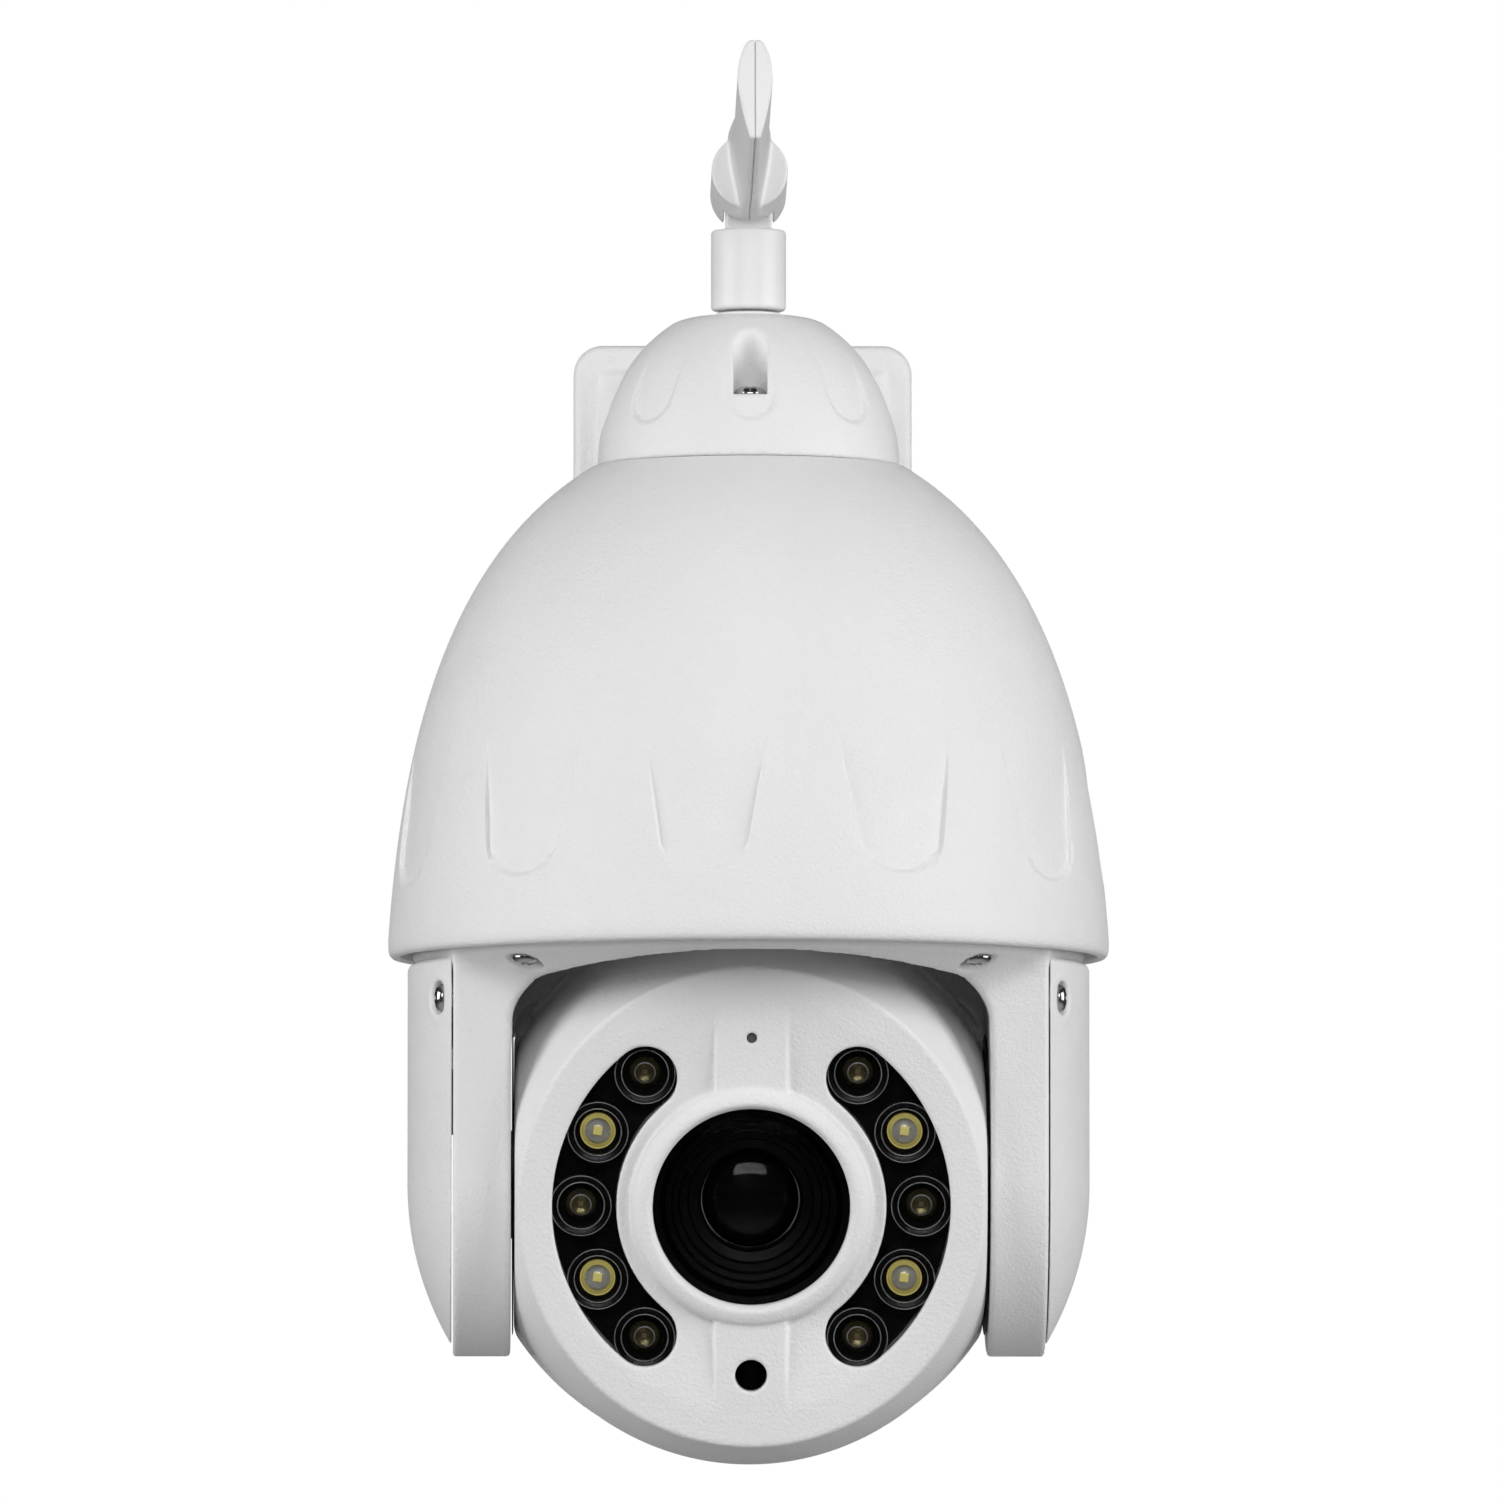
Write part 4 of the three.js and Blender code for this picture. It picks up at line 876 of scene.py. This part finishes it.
def slab(name, outline, front, back, place):
    """A flat piece across Y with a small bevel round its front edge."""
    shape = bmesh.new()
    rings = [[shape.verts.new((x, y, z)) for x, z in outline] for y in (front, back)]
    shape.faces.new(rings[0])
    shape.faces.new(list(reversed(rings[1])))
    count = len(outline)
    for i in range(count):
        j = (i + 1) % count
        shape.faces.new([rings[0][j], rings[0][i], rings[1][i], rings[1][j]])
    bmesh.ops.recalc_face_normals(shape, faces=shape.faces)
    edge = [e for e in shape.edges if all(v in rings[0] for v in e.verts)]
    bmesh.ops.bevel(shape, geom=edge, offset=0.15, segments=2, affect="EDGES")
    mesh = bpy.data.meshes.new(name)
    shape.to_mesh(mesh)
    shape.free()
    mesh.transform(place @ MM)
    piece = bpy.data.objects.new(name, mesh)
    bpy.context.scene.collection.objects.link(piece)
    return crease(piece)


def lamp(side, number, angle):
    """One lamp: a black holder, a cup, a square die and a domed lens."""
    sign = -1 if side == "left" else 1
    white = number in WHITE_LAMPS
    x = sign * LED_CIRCLE * math.cos(math.radians(angle))
    z = LED_CIRCLE * math.sin(math.radians(angle))
    place = moved(HEAD, x, LAMP_SHIFT, z)
    label = f"{side}_{number}"

    def turned(part, outline):
        return lathe(f"lamp_{part}_{label}", outline, place, "Y", 48)

    holder = [(4.5, -35.6), (5.0, -36.0), (5.9, -36.1), (6.05, -35.8), (6.05, -32.0), (4.5, -32.0)]
    dress(crease(turned("holder", holder)), BLACK, "head", "black")
    # Two thin light-grey rings on the holder's edges: painted highlights.
    for rim, (radius, y, thick) in enumerate(((5.95, -36.2, 0.09), (4.65, -36.0, 0.11)), 1):
        dress(torus(f"lamp_rim_highlight_{label}_{rim}", radius, y, thick, place), EDGE_HIGHLIGHT, "head", "black")
    if white:
        collar = [(2.6, -33.6), (3.45, -34.1), (3.5, -33.9), (3.5, -32.2), (2.6, -32.2)]
        dress(crease(turned("phosphor_painted_glow", collar)), PHOSPHOR, "head", "black")
        ripples = [(0, -32.6), (0.9, -32.75), (1.1, -32.5), (1.7, -32.8), (2.0, -32.6), (2.6, -33.3)]
        dress(turned("mirror", ripples + [(2.6, -32.2), (0, -32.2)]), WHITE_CUP, "head", "black")
    else:
        cup = [(0, -32.6), (1.5, -32.7), (3.0, -33.9), (3.1, -33.9), (3.1, -32.2), (0, -32.2)]
        dress(crease(turned("cup", cup)), DARK_CUP, "head", "black")
        # A thin light-grey ring inside the cup: a painted highlight.
        dress(torus(f"lamp_ring_highlight_{label}", 2.0, -34.6, 0.14, place), EDGE_HIGHLIGHT, "head", "black")
    half = 0.85 if white else 0.5
    square = [(-half, -half), (half, -half), (half, half), (-half, half)]
    skewed = place @ Matrix.Rotation(math.radians(8), 4, "Y")
    die = slab(f"lamp_die_{label}", square, -33.3, -32.5, skewed)
    dress(die, PHOSPHOR if white else DARK_DIE, "head", "black")
    glass = turned("lens", dome(3.4, 1.6, -33.6, 10) + [(4.4, -34.6), (4.4, -34.3), (0, -33.5)])
    dress(crease(glass), LAMP_LENS, "head", "optic", f"led_lens_{side}_{number}")


def torus(name, radius, y, thick, place):
    """A thin ring that faces -Y."""
    turns = np.linspace(0, 2 * math.pi, 8, endpoint=False)
    section = [(radius + thick * math.cos(a), y + thick * math.sin(a)) for a in turns]
    return lathe(name, section, place, "Y", 48)


def lamps():
    for side, sign in (("left", -1), ("right", 1)):
        outline = [(sign * x, z) for x, z in kidney_outline(-0.12)]
        window = slab(f"lamp_window_{side}", outline, -38.15, -37.35, HEAD)
        dress(window, LAMP_WINDOW, "head", "glass", f"led_window_{side}")
        outline = [(sign * x, z) for x, z in kidney_outline(-0.1)]
        back = slab(f"lamp_panel_{side}", outline, -32.2, -31.2, HEAD)
        dress(back, BLACK, "head", "black")
        for number, angle in enumerate(LED_ANGLES, 1):
            lamp(side, number, angle)


def sensor_and_microphone():
    place = moved(HEAD, 0, 0, SENSOR["z"])
    eye = dome(3.05, 0.9, -37.2, 10) + [(3.05, -34), (0, -34)]
    dress(crease(lathe("sensor_lens", eye, place, "Y", 48)), LAMP_WINDOW, "head", "optic", "light_sensor")
    back = lathe("sensor_back", [(0, -33.8), (3.1, -33.8), (3.1, -31), (0, -31)], place, "Y", 32)
    dress(back, MATT_BLACK, "head", "black")
    cloth = [(0, -38.6), (1.0, -38.6), (1.0, -36), (0, -36)]
    mesh = lathe("microphone_mesh", cloth, moved(HEAD, 0, 0, MICROPHONE["z"]), "Y", 32)
    dress(mesh, MESH, "head", "black")


# ---- Antenna ----
def collar_field(p):
    x, y, z = p.T
    ends = np.maximum(ANTENNA_COLLAR["bottom"] - z, z - ANTENNA_COLLAR["top"])
    collar = both(length(x, y) - ANTENNA_COLLAR["radius"], ends, 0.7)
    eye = length(y, z - HINGE_Z) - NECK["radius"]
    stalk = both(np.abs(y) - NECK["radius"], z - HINGE_Z)
    neck = both(np.abs(x) - NECK["half"], either(eye, stalk), 0.5)
    return either(collar, both(neck, NECK["bottom"] - z), 0.6)


def blade_half(y, t):
    """Half the blade's thickness: a round upper edge (+Y) and a narrow lower one; t is 1 at its tip."""
    crest = BLADE["crest_y"]
    lower = np.clip((crest - y) / 11.9, 0, 1) ** 1.45
    upper = np.sqrt(1 - np.clip((y - crest) / 8.4, 0, 0.97) ** 2)
    at_tip = np.where(y < crest, BLADE["half"] - 2.45 * lower, BLADE["half"] * upper)
    at_root = BLADE["root_half"] - 2.4 * np.clip((6 - y) / 14, 0, 1) ** 1.3
    return at_root + (at_tip - at_root) * t


def paddle_field(p):
    """The paddle stands on +Z: a blade on a round root, whose fork holds the collar's neck."""
    x, y, z = p.T
    x = np.abs(x)
    root = both(length(x, y) - ROOT["radius"], np.maximum(ROOT["bottom"] - z, z - ROOT["top"]), 0.5)
    root = both(root, either(length(y, z) - ROOT["round"], -z, 0.5), 0.4)
    t = smoothstep(*BLADE["blend"], z)
    low, high = 7.6 + 2.35 * t, 8.4 + 1.55 * t
    edge = np.maximum(y - high, -low - y)
    ends = np.maximum(BLADE["bottom"] - z, z - BLADE["top"])
    blade = both(both((x - blade_half(y, t)) * 0.95, edge, 0.5), ends, 0.45)
    slot = both(x - FORK, np.maximum(y - FORK, z - FORK), 0.3)
    return without(either(root, blade, 0.7), slot, 0.4)


def paddle_shell(side):
    """One side of the paddle, which is moulded as two shells with a fine seam between them."""
    sign = -1 if side == "left" else 1

    def field(p):
        return both(paddle_field(p), SHELL_GAP - sign * p[:, 0])

    low, high = sorted((0, sign * 9))
    shell = carve(f"antenna_moulding_{side}", field, (low, -12, -7), (high, 12, 89),
                  CELLS["paddle"], PADDLE)
    dress(shell, ANTENNA_SKIN, "antenna_paddle", "antenna", f"antenna_shell_{side}")


def antenna():
    collar = carve("antenna_collar_moulding", collar_field, (-9, -9, 174), (9, 9, HINGE_Z + 5),
                   CELLS["collar"])
    dress(collar, ANTENNA_SKIN, "antenna_base", "antenna", "antenna_collar")
    outline = [(0, -7.4), (1.3, -7.4), (1.6, -7.1), (1.6, 7.1), (1.3, 7.4), (0, 7.4)]
    pin = lathe("antenna_pin", outline, HINGE, "X", 40)
    dress(crease(pin), ANTENNA_SKIN, "antenna_base", "steel", "antenna_hinge_pin")
    for side in ("left", "right"):
        paddle_shell(side)
    flange = [(3.2, 173.9), (6.6, 173.9), (6.6, 174.4), (6.3, 174.6), (3.2, 174.6)]
    socket = lathe("antenna_socket", flange + [(3.2, 181), (0, 181), (0, 166), (3.2, 166)], RIG, "Z", 64)
    dress(crease(socket), ANTENNA_SKIN, "root", "brass", "antenna_jack")


# ---- Stage, lights and camera ----
def floor_paper():
    """Pale paper, lit evenly for the camera however far it lies from the lamps."""
    material, nodes, links, shader = new_material("floor_paper")
    shader.inputs["Base Color"].default_value = (*grey(0.86), 1)
    shader.inputs["Roughness"].default_value = 0.9
    shader.inputs["Emission Color"].default_value = (1, 1, 1, 1)
    path = nodes.new("ShaderNodeLightPath")
    dimmed = nodes.new("ShaderNodeMath")
    dimmed.operation = "MULTIPLY"
    dimmed.inputs[1].default_value = FLOOR["glow"]
    links.new(path.outputs["Is Camera Ray"], dimmed.inputs[0])
    links.new(dimmed.outputs["Value"], shader.inputs["Emission Strength"])
    return material


def floor():
    bpy.ops.mesh.primitive_plane_add(size=FLOOR["size"], location=(0, 0, FLOOR["z"]))
    plane = bpy.context.object
    plane.name = "floor"
    plane.data.materials.append(floor_paper())


def outwards(azimuth, elevation):
    """The direction from the rig to a viewpoint; azimuth is 0 in front, both in degrees."""
    a, e = math.radians(azimuth), math.radians(elevation)
    return Vector((math.sin(a) * math.cos(e), -math.cos(a) * math.cos(e), math.sin(e)))


def area_light(name, azimuth, elevation, distance, size, power):
    """A soft panel that faces the rig."""
    direction = outwards(azimuth, elevation)
    data = bpy.data.lights.new(name, "AREA")
    data.shape = "RECTANGLE"
    data.size, data.size_y = size
    data.energy = power
    light = bpy.data.objects.new(name, data)
    target = RIG.translation + Vector((0, 0, 0.06))
    light.location = target + direction * distance
    light.rotation_euler = (-direction).to_track_quat("-Z", "Y").to_euler()
    bpy.context.scene.collection.objects.link(light)


def world():
    """White behind the object, and a dimmer grey for what its surfaces see."""
    w = bpy.data.worlds.new("studio")
    bpy.context.scene.world = w
    w.use_nodes = True
    nodes, links = w.node_tree.nodes, w.node_tree.links
    seen, ambient = nodes["Background"], nodes.new("ShaderNodeBackground")
    seen.inputs["Color"].default_value = (1, 1, 1, 1)
    ambient.inputs["Color"].default_value = (*grey(1), 1)
    ambient.inputs["Strength"].default_value = AMBIENT
    mix = nodes.new("ShaderNodeMixShader")
    path = nodes.new("ShaderNodeLightPath")
    links.new(path.outputs["Is Camera Ray"], mix.inputs["Fac"])
    links.new(ambient.outputs["Background"], mix.inputs[1])
    links.new(seen.outputs["Background"], mix.inputs[2])
    links.new(mix.outputs["Shader"], nodes["World Output"].inputs["Surface"])


def camera():
    """The viewpoint is about four metres off, slightly below and to the left."""
    data = bpy.data.cameras.new("camera")
    data.sensor_width = CAMERA["sensor"]
    data.lens = CAMERA["lens"]
    data.clip_end = 50
    eye = bpy.data.objects.new("camera", data)
    direction = outwards(CAMERA["azimuth"], CAMERA["elevation"])
    target = RIG.translation + Vector(CAMERA["aim"])
    eye.location = target + direction * CAMERA["distance"]
    eye.rotation_euler = (-direction).to_track_quat("-Z", "Y").to_euler()
    bpy.context.scene.collection.objects.link(eye)
    bpy.context.scene.camera = eye


dress_cad_nodes()
hood()
bracket()
screws()
yoke()
bushes()
covers()
head_shells()
lens()
lamps()
sensor_and_microphone()
antenna()
floor()
world()
for light in LIGHTS:
    area_light(*light)
camera()
bpy.context.scene.view_settings.view_transform = "Standard"
